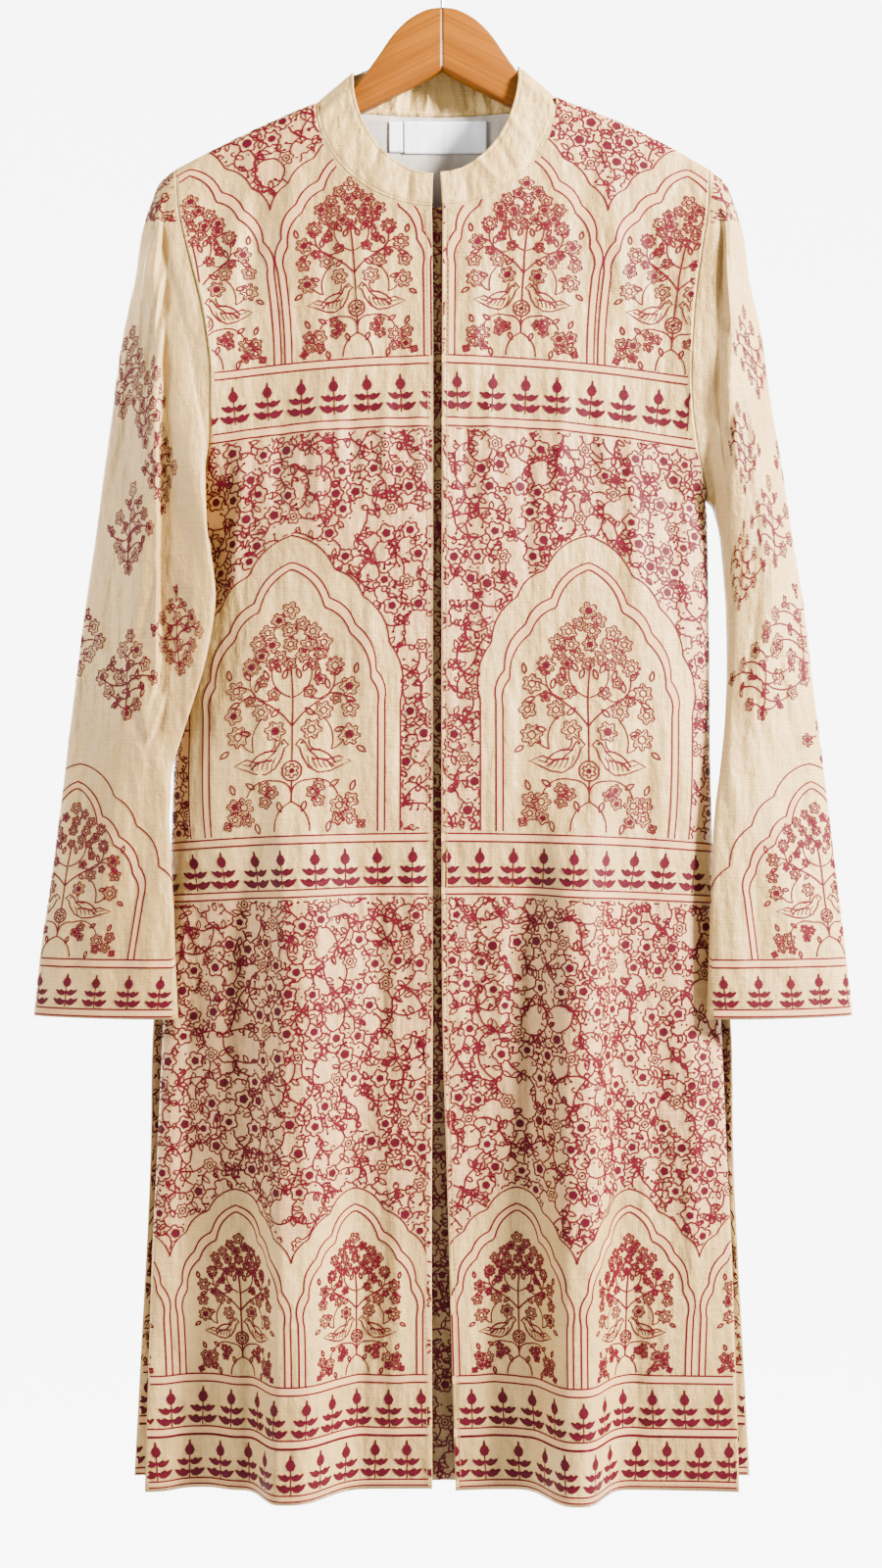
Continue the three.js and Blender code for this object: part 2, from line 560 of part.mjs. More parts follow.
function underPlacket() {
  const w = UNDER_PLACKET.halfWidth;
  const grid = Array.from({ length: UNDER_PLACKET.rows }, (_, i) => {
    return [-w, -w / 2, 0, w / 2, w].map((x) => {
      const z = mix(neckLine(x, NECK.frontZ) - UNDER_PLACKET.belowNeck, UNDER_PLACKET.bottomZ, i / (UNDER_PLACKET.rows - 1));
      const extra = UNDER_PLACKET.hemRecess * ease((SLIT_TOP_Z - z) / (SLIT_TOP_Z - HEM_Z));
      const share = Math.abs(x) / halfWidth("front", z);
      const recess = x < 0 ? UNDER_PLACKET.sewn : UNDER_PLACKET.recess;
      return vec(x, -depth("front", x, z, share) + recess + extra, z);
    });
  });
  return shell(grid, squareTo(grid, () => vec(0, 1, 0)), CLOTH);
}

// A sheet that lies on the inside of the back, recess in from the back's outer face.
function insideBack(columns, rows, xAt, zAt, recess, wall) {
  const grid = rows.map((down) =>
    Array.from({ length: columns }, (_, j) => {
      const x = xAt(j / (columns - 1));
      const z = zAt(x, down);
      return vec(x, depth("back", x, z, Math.abs(x) / halfWidth("back", z)) - recess, z);
    }),
  );
  return shell(grid, grid.map((row) => row.map(() => vec(0, -1, 0))), wall);
}

function backLining() {
  const top = (x) => Math.min(neckLine(x, NECK.backZ) - 0.5, shoulderLine(x) - LINING.belowShoulder);
  return insideBack(
    LINING.columns,
    LINING_ROWS,
    (s) => mix(-LINING.halfWidth, LINING.halfWidth, s),
    (x, s) => mix(top(x), LINING.bottomZ, s),
    CLOTH + LINING.recess,
    LINING_WALL,
  );
}

function neckLabel(label) {
  return insideBack(
    6,
    LABEL_ROWS,
    (s) => mix(label.left, label.right, s),
    (x, s) => mix(label.top, label.bottom, s),
    CLOTH + LINING.recess + LINING_WALL + label.gap,
    LABEL_WALL,
  );
}

// ---- Hanger ----

// One wooden arm, lofted outwards from the centre joint to its rounded tip.
function hangerArm(side) {
  const stations = HANGER_OUTLINE.map((row) => ({ x: Math.max(row.x, HANGER.centreGap), top: row.top, bottom: row.bottom, thick: 1 }));
  const armStart = HANGER_OUTLINE[HANGER_OUTLINE.length - 1].x;
  const straight = 5;
  for (let k = 1; k <= straight; k += 1) {
    const x = mix(armStart, HANGER.tipX - HANGER.tipRound, k / straight);
    const deep = mix(HANGER_ARM.depthAtNeck, HANGER_ARM.depthAtTip, k / straight);
    const top = shoulderLine(side * x) - HANGER.clearance;
    stations.push({ x, top, bottom: top - deep, thick: 1 });
  }
  const end = stations[stations.length - 1];
  for (const turn of [30, 55, 75]) {
    const a = THREE.MathUtils.degToRad(turn);
    const x = end.x + HANGER.tipRound * Math.sin(a);
    const shrink = Math.cos(a);
    const middle = (end.top + end.bottom) / 2 + shoulderLine(side * x) - shoulderLine(side * end.x);
    const half = ((end.top - end.bottom) / 2) * shrink;
    stations.push({ x, top: middle + half, bottom: middle - half, thick: mix(0.45, 1, shrink) });
  }
  const h = HANGER.halfThickness;
  const grid = stations.map(({ x, top, bottom, thick }) => {
    const round = Math.min(h, (top - bottom) * 0.4);
    const section = [];
    for (const [zc, from] of [[top - round, 0], [bottom + round, 180]]) {
      for (const turn of [0, 45, 90, 135, 180]) {
        const a = THREE.MathUtils.degToRad(from + turn);
        section.push(vec(side * x, -h * thick * Math.cos(a), zc + round * Math.sin(a)));
      }
    }
    return section;
  });
  return loft(grid);
}

// A solid through closed rings of points, capped flat at both ends.
function loft(rings) {
  const around = rings[0].length;
  const points = rings.flat();
  const faces = [];
  for (let i = 0; i < rings.length - 1; i += 1) {
    for (let j = 0; j < around; j += 1) {
      const a = i * around + j;
      const b = i * around + ((j + 1) % around);
      faces.push([a, b, b + around], [a, b + around, a + around]);
    }
  }
  const last = (rings.length - 1) * around;
  for (let j = 1; j < around - 1; j += 1) {
    faces.push([0, j + 1, j], [last, last + j, last + j + 1]);
  }
  return closedBody(points, faces);
}

function solidOf(geometry) {
  const bare = geometry.index ? geometry.toNonIndexed() : geometry.clone();
  bare.deleteAttribute("normal");
  bare.deleteAttribute("uv");
  const merged = mergeVertices(bare, 1e-4);
  return new wasm.Manifold(
    new wasm.Mesh({
      numProp: 3,
      vertProperties: merged.attributes.position.array,
      triVerts: new Uint32Array(merged.index.array),
    }),
  );
}

function geometryOf(solid) {
  const mesh = solid.getMesh();
  const geometry = new THREE.BufferGeometry();
  geometry.setAttribute("position", new THREE.BufferAttribute(new Float32Array(mesh.vertProperties), 3));
  geometry.setIndex(new THREE.BufferAttribute(new Uint32Array(mesh.triVerts), 1));
  return geometry;
}

// The hole down the joint that takes the hook's stem.
function stemBore() {
  const height = HANGER_OUTLINE[0].top + 10 - (HOOK.stemBottom - 1);
  const bore = new THREE.CylinderGeometry(HOOK.bore, HOOK.bore, height, 12);
  bore.rotateX(Math.PI / 2);
  bore.translate(0, 0, HOOK.stemBottom - 1 + height / 2);
  return solidOf(bore);
}

function hook() {
  const centreZ = HOOK.wire - HOOK.radius;
  const stem = [vec(0, 0, HOOK.stemBottom), vec(0, 0, mix(HOOK.stemBottom, HOOK.stemTop, 0.55)), vec(0, 0, HOOK.stemTop)];
  const turn = [vec(2.2, 0, HOOK.stemTop + 6)];
  const bow = [];
  for (let angle = -58; angle <= HOOK.endAngle; angle += 19) {
    const a = THREE.MathUtils.degToRad(angle);
    bow.push(vec(HOOK.radius * Math.cos(a), 0, centreZ + HOOK.radius * Math.sin(a)));
  }
  const path = new THREE.CatmullRomCurve3([...stem, ...turn, ...bow], false, "centripetal");
  const section = new THREE.Shape();
  section.absarc(0, 0, HOOK.wire, 0, Math.PI * 2, false);
  return new THREE.ExtrudeGeometry(section, { steps: 44, curveSegments: 8, bevelEnabled: false, extrudePath: path });
}

// ---- The object ----

const printedSilk = new THREE.MeshStandardMaterial({ color: 0xdcc59c, roughness: 0.62, metalness: 0 });
const plainSilk = new THREE.MeshStandardMaterial({ color: 0xe0c99f, roughness: 0.58, metalness: 0 });
const liningCotton = new THREE.MeshStandardMaterial({ color: 0xd4cdc6, roughness: 0.8, metalness: 0 });
const labelSatin = new THREE.MeshStandardMaterial({ color: 0xf1f1f3, roughness: 0.5, metalness: 0 });
const beech = new THREE.MeshStandardMaterial({ color: 0xcf8a45, roughness: 0.42, metalness: 0 });
const steel = new THREE.MeshStandardMaterial({ color: 0xc9ccd0, roughness: 0.28, metalness: 1 });

const kurta = new THREE.Group();
kurta.name = "kurta_on_hanger";

const frontRight = frontPanel(-1);
const frontLeft = frontPanel(1);
const back = backPanel();
const rightSleeve = sleeve(RIGHT_SLEEVE, -1);
const leftSleeve = sleeve(LEFT_SLEEVE, 1);

kurta.add(piece("front_right", shell(frontRight.grid, frontRight.inward, CLOTH), printedSilk));
kurta.add(piece("front_left", shell(frontLeft.grid, frontLeft.inward, CLOTH), printedSilk));
kurta.add(piece("back", shell(back.grid, back.inward, CLOTH), printedSilk));
kurta.add(piece("sleeve_right", shell(rightSleeve.grid, rightSleeve.inward, CLOTH, true), printedSilk));
kurta.add(piece("sleeve_left", shell(leftSleeve.grid, leftSleeve.inward, CLOTH, true), printedSilk));
kurta.add(piece("collar", collar(neckEdge(frontRight, back, frontLeft)), plainSilk));
kurta.add(piece("under_placket", underPlacket(), printedSilk));
kurta.add(piece("back_lining", backLining(), liningCotton));
kurta.add(piece("neck_label", neckLabel(LABEL), labelSatin));
kurta.add(piece("size_tab", neckLabel(SIZE_TAB), labelSatin));

const bore = stemBore();
for (const [name, side] of [["hanger_arm_right", -1], ["hanger_arm_left", 1]]) {
  kurta.add(piece(name, geometryOf(solidOf(hangerArm(side)).subtract(bore)), beech));
}
kurta.add(piece("hanger_hook", hook(), steel));

export default kurta;
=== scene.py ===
"""A printed tussar silk kurta with a band collar and side slits, hung on a wooden hanger.

Sizes are millimetres, and meshes are made in metres. +X is the wearer's left, +Y runs from front to
back and +Z is up. The origin is the inside top of the hanger's hook.
"""

from __future__ import annotations

import logging
import math
from dataclasses import dataclass, field
from enum import Enum
from typing import Callable, NamedTuple, Protocol, Sequence

import bpy
import numpy as np
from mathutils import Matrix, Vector

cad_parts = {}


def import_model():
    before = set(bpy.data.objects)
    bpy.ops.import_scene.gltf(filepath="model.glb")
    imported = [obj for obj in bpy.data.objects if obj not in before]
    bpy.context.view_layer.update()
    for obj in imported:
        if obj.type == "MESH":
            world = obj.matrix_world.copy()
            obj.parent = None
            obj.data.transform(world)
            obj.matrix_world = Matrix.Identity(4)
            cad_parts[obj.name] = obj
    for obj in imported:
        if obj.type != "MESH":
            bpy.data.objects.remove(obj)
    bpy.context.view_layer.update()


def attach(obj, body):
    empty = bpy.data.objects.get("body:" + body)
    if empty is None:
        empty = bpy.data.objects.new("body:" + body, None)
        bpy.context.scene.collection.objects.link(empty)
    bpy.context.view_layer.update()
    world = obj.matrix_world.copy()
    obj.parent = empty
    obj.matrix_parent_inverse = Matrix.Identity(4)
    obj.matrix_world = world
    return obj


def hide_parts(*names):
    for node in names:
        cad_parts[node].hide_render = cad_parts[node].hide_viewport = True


LOG = logging.getLogger("kurta")
MM = 0.001
BODY = "root"
Array = np.ndarray


# ---- Numbers and curves ----


def ease(t: Array) -> Array:
    """Smooth step from 0 to 1."""
    t = np.clip(t, 0.0, 1.0)
    return t * t * (3.0 - 2.0 * t)


def mix(a: Array, b: Array, t: Array) -> Array:
    """Straight blend from a to b."""
    return a + (b - a) * t


def unit(vectors: Array) -> Array:
    """Vectors of length one along the last axis."""
    return vectors / np.maximum(np.linalg.norm(vectors, axis=-1, keepdims=True), 1e-9)


def facing(vectors: Array, wanted: Array) -> Array:
    """Vectors turned round where they point against the wanted ones."""
    return np.where(np.sum(vectors * wanted, axis=-1, keepdims=True) < 0, -vectors, vectors)


def smooth_step(a: Array, b: Array, slope_a: Array, slope_b: Array, t: Array) -> Array:
    """Cubic curve from a to b, with its slopes at both ends given over the whole stretch."""
    ends = a * (1 + 2 * t) * (1 - t) ** 2 + b * t * t * (3 - 2 * t)
    return ends + slope_a * t * (1 - t) ** 2 + slope_b * t * t * (t - 1)


def bell(away: Array, reach: float) -> Array:
    """A soft bump: 1 in its middle, small beyond its reach."""
    return np.exp(-((away / reach) ** 2))


def run_along(path: Array) -> Array:
    """Distance along a path to each of its points."""
    return np.concatenate([[0.0], np.cumsum(np.linalg.norm(np.diff(path, axis=0), axis=1))])


def on_path(path: Array, at: Array) -> Array:
    """Points at given distances along a path."""
    run = run_along(path)
    return np.stack([np.interp(at, run, column) for column in path.T], axis=1)


def resample(path: Array, count: int) -> Array:
    """A path with a set number of even steps."""
    return on_path(path, np.linspace(0, run_along(path)[-1], count))


def on_grid(points: Array, rows: Array, columns: Array) -> Array:
    """Points between those of a grid, at fractions of its rows and of its columns, which may wrap.

    Args:
        points: rows by columns by 3.
        rows: row numbers.
        columns: column numbers.

    Returns:
        The points there.
    """
    i, j = rows.astype(int), np.floor(columns).astype(int)
    a, b = (rows - i)[:, None], (columns - j)[:, None]
    near, far = j % points.shape[1], (j + 1) % points.shape[1]
    return mix(mix(points[i, near], points[i + 1, near], a), mix(points[i, far], points[i + 1, far], a), b)


class Track:
    """A smooth curve through the rows of a table that runs down the garment."""

    def __init__(self, heights: Sequence[float], values: Sequence[float]) -> None:
        """Store the rows from the lowest up.

        Args:
            heights: z of each row, from the highest down.
            values: the value at each row.
        """
        self.z = np.array(heights[::-1], float)
        self.v = np.array(values[::-1], float)
        last = len(self.z) - 1
        before = np.maximum(np.arange(last + 1) - 1, 0)
        after = np.minimum(np.arange(last + 1) + 1, last)
        self.slope = (self.v[after] - self.v[before]) / (self.z[after] - self.z[before])

    def at(self, z: Array) -> Array:
        """The curve's value at a height.

        Args:
            z: heights in millimetres.

        Returns:
            The values there.
        """
        z = np.clip(z, self.z[0], self.z[-1])
        i = np.clip(np.searchsorted(self.z, z, side="right") - 1, 0, len(self.z) - 2)
        span = self.z[i + 1] - self.z[i]
        slopes = self.slope[i] * span, self.slope[i + 1] * span
        return smooth_step(self.v[i], self.v[i + 1], *slopes, (z - self.z[i]) / span)


# ---- The garment's form ----


class Face(Enum):
    """Which side of the body a panel covers; the value is the sign of y."""

    FRONT = -1
    BACK = 1


class Side(Enum):
    """The wearer's side; the value is the sign of x."""

    RIGHT = -1
    LEFT = 1


def table(kind: type, *rows: tuple[float, ...]) -> tuple:
    """A table whose rows are of one kind, from plain rows of numbers."""
    return tuple(kind(*row) for row in rows)


class WidthRow(NamedTuple):
    """Half widths of the body at one height."""

    z: float
    front: float
    back: float
    right_in: float


class FullnessRow(NamedTuple):
    """How far the middle of each face stands from the hanger's plane."""

    z: float
    front: float
    back: float


class EdgeRow(NamedTuple):
    """Where the two centre edges hang, as distances from the centre line."""

    z: float
    right: float
    left: float


class Fold(NamedTuple):
    """A long hanging fold: its crest and height at the top and at the hem, and its flanks' reach."""

    side: int
    x_top: float
    x_hem: float
    height_top: float
    height_hem: float
    inner: float
    outer: float


class Crease(NamedTuple):
    """A small soft ridge or trough: where it runs, how wide and how high it is."""

    x: float
    top: float
    bottom: float
    width: float
    height: float
    lean: float


def crease_sum(creases: Sequence[Crease], across: Array, z: Array) -> Array:
    """Height of all the small creases at places across the cloth and heights.

    Args:
        creases: the creases.
        across: places across the cloth.
        z: heights.

    Returns:
        Heights over the cloth.
    """
    total = np.zeros(np.broadcast(across, z).shape)
    for c in creases:
        middle, reach = (c.top + c.bottom) / 2, (c.top - c.bottom) / 2
        along = np.clip(1 - ((z - middle) / reach) ** 2, 0.0, 1.0) ** 2
        total = total + c.height * along * bell(across - c.x - c.lean * (z - middle), c.width)
    return total


@dataclass(frozen=True)
class BodyForm:
    """The hung form of the kurta's body, with its long folds and small creases."""

    seam_gap: float = 0.3
    neck_x: float = -5.0
    neck_half: float = 95.0
    neck_front: float = -225.3
    neck_back: float = -143.0
    shoulder_x: float = 210.0
    shoulder_z: float = -189.0
    neck_point_x: float = 99.0
    neck_point_z: float = -136.0
    bow_right: float = 1.8
    bow_left: float = 4.0
    armpit: float = -452.0
    armhole_round: float = 132.0
    slit_top: float = -750.0
    hem: float = -1226.0
    back_hem: float = -1225.0
    hem_droop: float = 3.0
    over_hanger: float = 8.0
    belly_front: float = 110.0
    belly_back: float = 100.0
    side_power: float = 3.4
    side_root: float = 2.0
    chest_shift: float = 7.0
    chest_z: float = -360.0
    chest_spread: float = 95.0
    slit_share: float = 0.95
    slit_power: float = 1.1
    fold_start: float = -620.0
    fold_full: float = -800.0
    lap_lift: float = 4.0
    lap_spread: float = 25.0
    widths: tuple[WidthRow, ...] = table(
        WidthRow,
        (-189, 210, 210, 0), (-225, 207, 207, 0), (-260, 200, 200, 0), (-300, 192, 192, 0),
        (-345, 187, 187, 0), (-380, 188, 188, 1), (-415, 195, 195, 8), (-452, 206, 206, 15),
        (-550, 211, 211, 12), (-650, 212, 212, 1), (-750, 215, 215, 0), (-863, 220, 229, 0),
        (-970, 224, 232, 0), (-1035, 227, 235, 0), (-1120, 229.5, 240, 0), (-1226, 232.5, 246, 0),
    )
    fullness: tuple[FullnessRow, ...] = table(
        FullnessRow,
        (-189, 33, 27), (-600, 33, 27), (-860, 28, 23), (-1120, 21, 19), (-1226, 18, 18),
    )
    centre_edges: tuple[EdgeRow, ...] = table(
        EdgeRow,
        (-137, 9, 1), (-330, 7, 0), (-830, 7, 0), (-1005, 8, 4.5), (-1226, 7.6, 10.6),
    )
    front_folds: tuple[Fold, ...] = table(
        Fold,
        (-1, -112, -121, 14, 34, 37, 21.5), (1, 107, 104, 15, 38, 26.6, 24), (-1, -188, -191, 0, -8, 20, 22),
    )
    back_folds: tuple[Fold, ...] = table(
        Fold,
        (-1, -96, -110, 7, 17, 34, 34), (1, 62, 70, 8, 19, 34, 32), (1, 150, 168, 0, 9, 30, 30),
    )
    crease_scale: float = 1.5
    crease_begin: float = 40.0
    flat_edge: float = 0.12
    front_creases: tuple[Crease, ...] = table(
        Crease,
        (-163, -196, -330, 7, 1.7, 0.16), (-147, -188, -352, 6, -1.5, 0.12), (-121, -172, -300, 8, 1.1, 0.06),
        (-88, -196, -368, 7, -1.2, -0.04), (-62, -230, -345, 6, 1.2, -0.02), (-31, -232, -410, 7, -1.1, 0.03),
        (-18, -330, -470, 5, 1.3, 0), (-44, -350, -455, 5, 1.5, 0.02), (-70, -340, -480, 6, -1.4, -0.03),
        (-97, -352, -520, 6, 1.6, 0.02), (-126, -345, -505, 6, -1.5, 0.05), (-158, -365, -560, 7, 1.8, 0.09),
        (-182, -400, -600, 8, -1.6, 0.1), (-58, -470, -690, 8, 1.3, -0.03), (-84, -520, -760, 7, -1.5, 0),
        (-140, -540, -745, 8, 1.5, 0.03), (-30, -560, -720, 6, -1, 0.02), (-22, -690, -880, 6, 1.3, 0),
        (-49, -700, -930, 7, -1.7, -0.02), (-72, -715, -1010, 7, 1.8, 0.01),
        (-155, -700, -950, 8, -1.9, 0.03),
        (-176, -730, -1060, 8, 2, 0.02), (-200, -790, -1120, 8, -1.8, 0), (-36, -930, -1226, 8, 2.2, 0),
        (-64, -1000, -1240, 8, -2.2, 0), (-158, -1010, -1240, 9, 2.2, 0.02), (24, -236, -372, 6, 1.2, -0.02),
        (48, -228, -352, 7, -1.3, 0.03), (79, -205, -360, 7, 1.3, 0.05), (110, -178, -322, 8, -1.2, -0.06),
        (139, -185, -360, 7, 1.6, -0.12), (166, -200, -345, 7, -1.6, -0.17), (20, -345, -500, 5, -1.2, 0),
        (37, -340, -468, 5, 1.4, -0.02), (66, -352, -540, 6, -1.6, 0.02), (92, -345, -470, 6, 1.7, 0.03),
        (118, -350, -530, 7, -1.5, -0.04), (149, -360, -580, 7, 1.8, -0.06),
        (180, -390, -620, 8, -1.7, -0.05),
        (30, -520, -700, 7, 1.1, 0.02), (62, -500, -740, 7, -1.3, 0), (126, -540, -770, 8, 1.6, -0.02),
        (160, -600, -800, 8, -1.5, 0), (24, -700, -900, 6, -1.4, 0), (45, -695, -960, 7, 1.8, 0.01),
        (70, -740, -1040, 7, -1.9, 0), (143, -720, -1000, 8, 1.9, 0.01), (170, -760, -1090, 8, -2, 0.02),
        (196, -810, -1150, 8, 1.9, 0.01), (40, -980, -1240, 8, -2.2, 0), (64, -1040, -1240, 7, 2, 0),
        (150, -1030, -1240, 9, -2.2, 0.02),
    )
    back_creases: tuple[Crease, ...] = table(
        Crease,
        (-158, -200, -390, 8, 1.7, 0.13), (-124, -176, -340, 8, -1.4, 0.06), (-80, -160, -330, 9, 1.2, 0.02),
        (-30, -170, -400, 9, -1.1, 0), (22, -165, -360, 8, 1.3, 0), (70, -162, -345, 9, -1.3, -0.02),
        (116, -180, -380, 8, 1.4, -0.07), (155, -198, -400, 8, -1.7, -0.12), (-170, -400, -640, 9, 1.9, 0.08),
        (-132, -360, -600, 8, -1.6, 0.03), (-60, -370, -560, 8, 1.5, 0), (-8, -380, -640, 9, 1.4, 0),
        (46, -390, -580, 8, -1.5, 0), (98, -370, -620, 8, 1.7, -0.03), (148, -400, -660, 9, -1.8, -0.06),
        (-180, -690, -1080, 9, -2.1, 0.02), (-140, -720, -1040, 9, 2, 0), (-62, -700, -960, 8, -1.8, 0),
        (-24, -740, -1120, 9, 2, 0), (18, -710, -1010, 8, -1.8, 0), (104, -700, -1000, 9, 2, 0),
        (132, -760, -1140, 9, -2.1, 0.02), (196, -800, -1180, 9, 2, 0), (-74, -1010, -1240, 9, 2.3, 0),
        (-40, -1060, -1240, 8, -2.1, 0), (30, -1020, -1240, 9, 2.2, 0),
    )

    def track(self, rows: Sequence[NamedTuple], column: str) -> Track:
        """A smooth curve through one named column of a table."""
        return Track([row.z for row in rows], [getattr(row, column) for row in rows])

    def half_width(self, face: Face, z: Array, sign: Array) -> Array:
        """Half the body's width on one side.

        Args:
            face: front or back.
            z: heights.
            sign: -1 for the wearer's right and 1 for the left.

        Returns:
            Distances from the centre line.
        """
        half = self.track(self.widths, face.name.lower()).at(z)
        return half - np.where(sign < 0, self.track(self.widths, "right_in").at(z), 0.0)

    def shift(self, z: Array) -> Array:
        """How far the chest hangs towards the wearer's left."""
        return self.chest_shift * bell(z - self.chest_z, self.chest_spread)

    def shoulder_line(self, x: Array) -> Array:
        """Height of the shoulder's seam at x.

        Args:
            x: places across, in millimetres.

        Returns:
            Heights.
        """
        out = (np.abs(x) - self.neck_point_x) / (self.shoulder_x - self.neck_point_x)
        bow = np.where(x < 0, self.bow_right, self.bow_left)
        within = np.clip(out, 0.0, 1.0)
        return mix(self.neck_point_z, self.shoulder_z, out) + bow * 4 * within * (1 - within)

    def neck_line(self, x: Array, low: float) -> Array:
        """Height of the neck's edge at x, half an ellipse between the neck points.

        Args:
            x: places across.
            low: height of the edge at its lowest.

        Returns:
            Heights.
        """
        across = np.clip((x - self.neck_x) / self.neck_half, -1.0, 1.0)
        right = self.shoulder_line(np.array(self.neck_x - self.neck_half))
        left = self.shoulder_line(np.array(self.neck_x + self.neck_half))
        ends = mix(right, left, (across + 1) / 2)
        return ends - (ends - low) * np.sqrt(1 - across**2)

    def top_edge(self, x: Array, low: float) -> Array:
        """Height of a panel's top edge: the neck's edge, then the shoulder's seam."""
        inside = np.abs(x - self.neck_x) < self.neck_half
        return np.where(inside, self.neck_line(x, low), self.shoulder_line(x))

    def edge_share(self, z: Array) -> Array:
        """How much of the fullness is left at the side edge.

        Args:
            z: heights.

        Returns:
            Shares, from 0 to 1.
        """
        s = np.clip((z - self.armpit) / self.armhole_round, 0.0, 1.0)
        down = np.clip((self.slit_top - z) / (self.slit_top - self.hem), 0.0, 1.0)
        return np.where(z >= self.armpit, np.sqrt(s * (2 - s)), self.slit_share * down**self.slit_power)

    def fold_height(self, face: Face, x: Array, z: Array) -> Array:
        """Height of the long hanging folds.

        Args:
            face: front or back.
            x: places across, in millimetres.
            z: heights.

        Returns:
            Heights over the body's own roundness.
        """
        begun = ease((self.fold_start - z) / (self.fold_start - self.fold_full))
        down = np.clip((self.fold_start - z) / (self.fold_start - self.hem), 0.0, 1.0)
        total = np.zeros(np.broadcast(x, z).shape)
        for fold in self.front_folds if face is Face.FRONT else self.back_folds:
            away = (x - mix(fold.x_top, fold.x_hem, down)) * fold.side
            reach = np.where(away < 0, fold.inner, fold.outer)
            height = mix(fold.height_top, fold.height_hem, down)
            total = total + begun * height * np.exp(-(np.abs(away / reach) ** 3))
        return total

    def depth(self, face: Face, x: Array, z: Array, share: Array) -> Array:
        """Distance of the cloth's outer face from the hanger's plane.

        Args:
            face: front or back.
            x: places across.
            z: heights.
            share: 0 at the centre line and 1 at the side edge.

        Returns:
            Distances, not signed.
        """
        drop = np.maximum(0.0, self.shoulder_line(x) - z)
        turned = np.maximum(0.0, self.over_hanger - drop)
        over = np.sqrt(self.over_hanger**2 - turned**2)
        run = self.belly_front if face is Face.FRONT else self.belly_back
        full = self.track(self.fullness, face.name.lower()).at(z)
        belly = (full - self.over_hanger) * (1 - np.exp(-drop / run))
        share = np.clip(share, 0.0, 1.0)
        side = (1 - share**self.side_power) ** (1 / self.side_root)
        edge = self.edge_share(z) * np.where(z > self.armpit, share**4, share)
        fade = ease((1 - share) / self.flat_edge)
        creases = self.front_creases if face is Face.FRONT else self.back_creases
        small = self.crease_scale * crease_sum(creases, x, z) * ease(drop / self.crease_begin)
        wave = (self.fold_height(face, x, z) + small) * fade
        return self.seam_gap / 2 + (over + belly) * (edge + (1 - edge) * side) + wave


# ---- Meshes ----


def add_object(name: str, vertices: Array, faces: Sequence[Sequence[int]], material: bpy.types.Material,
               smooth: bool = True) -> bpy.types.Object:
    """Make one mesh object.

    Args:
        name: the object's name.
        vertices: points in millimetres.
        faces: corner numbers of each face.
        material: what covers it.
        smooth: whether it is shaded smooth.

    Returns:
        The new object.
    """
    mesh = bpy.data.meshes.new(name)
    mesh.from_pydata((np.asarray(vertices, float) * MM).tolist(), [], [list(map(int, f)) for f in faces])
    mesh.validate(clean_customdata=False)
    mesh.materials.append(material)
    mesh.polygons.foreach_set("use_smooth", [smooth] * len(mesh.polygons))
    mesh.update()
    piece = bpy.data.objects.new(name, mesh)
    bpy.context.scene.collection.objects.link(piece)
    return piece


def grid_faces(rows: int, columns: int, wrapped: bool = False) -> Array:
    """Corner numbers of the quads of a grid of points.

    Args:
        rows: how many rows of points.
        columns: how many points in a row.
        wrapped: whether each row closes on itself.

    Returns:
        Four numbers for each quad.
    """
    i, j = np.meshgrid(np.arange(rows - 1), np.arange(columns if wrapped else columns - 1), indexing="ij")
    i, j = i.ravel(), j.ravel()
    k = (j + 1) % columns
    return np.stack([i * columns + j, (i + 1) * columns + j, (i + 1) * columns + k, i * columns + k], axis=1)


def tube_faces(rings: int, count: int) -> list[list[int]]:
    """Corner numbers of the faces of a tube with closed ends."""
    faces = grid_faces(rings, count, wrapped=True).tolist()
    return [*faces, list(range(count)), list(range((rings - 1) * count, rings * count))[::-1]]


def grid_normals(points: Array, wrapped: bool = False) -> Array:
    """Unit vectors square to a grid of points.

    Args:
        points: rows by columns by 3.
        wrapped: whether each row closes on itself.

    Returns:
        Vectors of the same shape.
    """
    if wrapped:
        across = np.roll(points, -1, axis=1) - np.roll(points, 1, axis=1)
    else:
        across = np.gradient(points, axis=1)
    down = np.gradient(points, axis=0)
    return unit(np.cross(down, across))


def wall(outer: Array, outward: Array, thickness: float, wrapped: bool = False) -> tuple[Array, Array]:
    """A closed thin wall of cloth under its outer face.

    Args:
        outer: rows by columns by 3.
        outward: unit vectors out of the cloth at each point.
        thickness: how far in the inner face lies.
        wrapped: whether each row closes on itself.

    Returns:
        The points, and the corner numbers of each face.
    """
    rows, columns = outer.shape[:2]
    size = rows * columns
    points = np.concatenate([outer.reshape(-1, 3), (outer - outward * thickness).reshape(-1, 3)])
    top = grid_faces(rows, columns, wrapped)
    under = top[:, ::-1] + size
    ring = columns if wrapped else columns - 1
    j = np.arange(ring)
    k = (j + 1) % columns
    end = (rows - 1) * columns
    rims = [
        np.stack([j, k, size + k, size + j], axis=1),
        np.stack([end + j, size + end + j, size + end + k, end + k], axis=1),
    ]
    if not wrapped:
        i = np.arange(rows - 1) * columns
        n = i + columns
        e = columns - 1
        rims.append(np.stack([i, size + i, size + n, n], axis=1))
        rims.append(np.stack([i + e, n + e, size + n + e, size + i + e], axis=1))
    faces = np.concatenate([top, under, *rims])
    turned_out = np.mean(np.sum(grid_normals(outer, wrapped) * outward, axis=-1)) > 0
    return points, faces if turned_out else faces[:, ::-1]


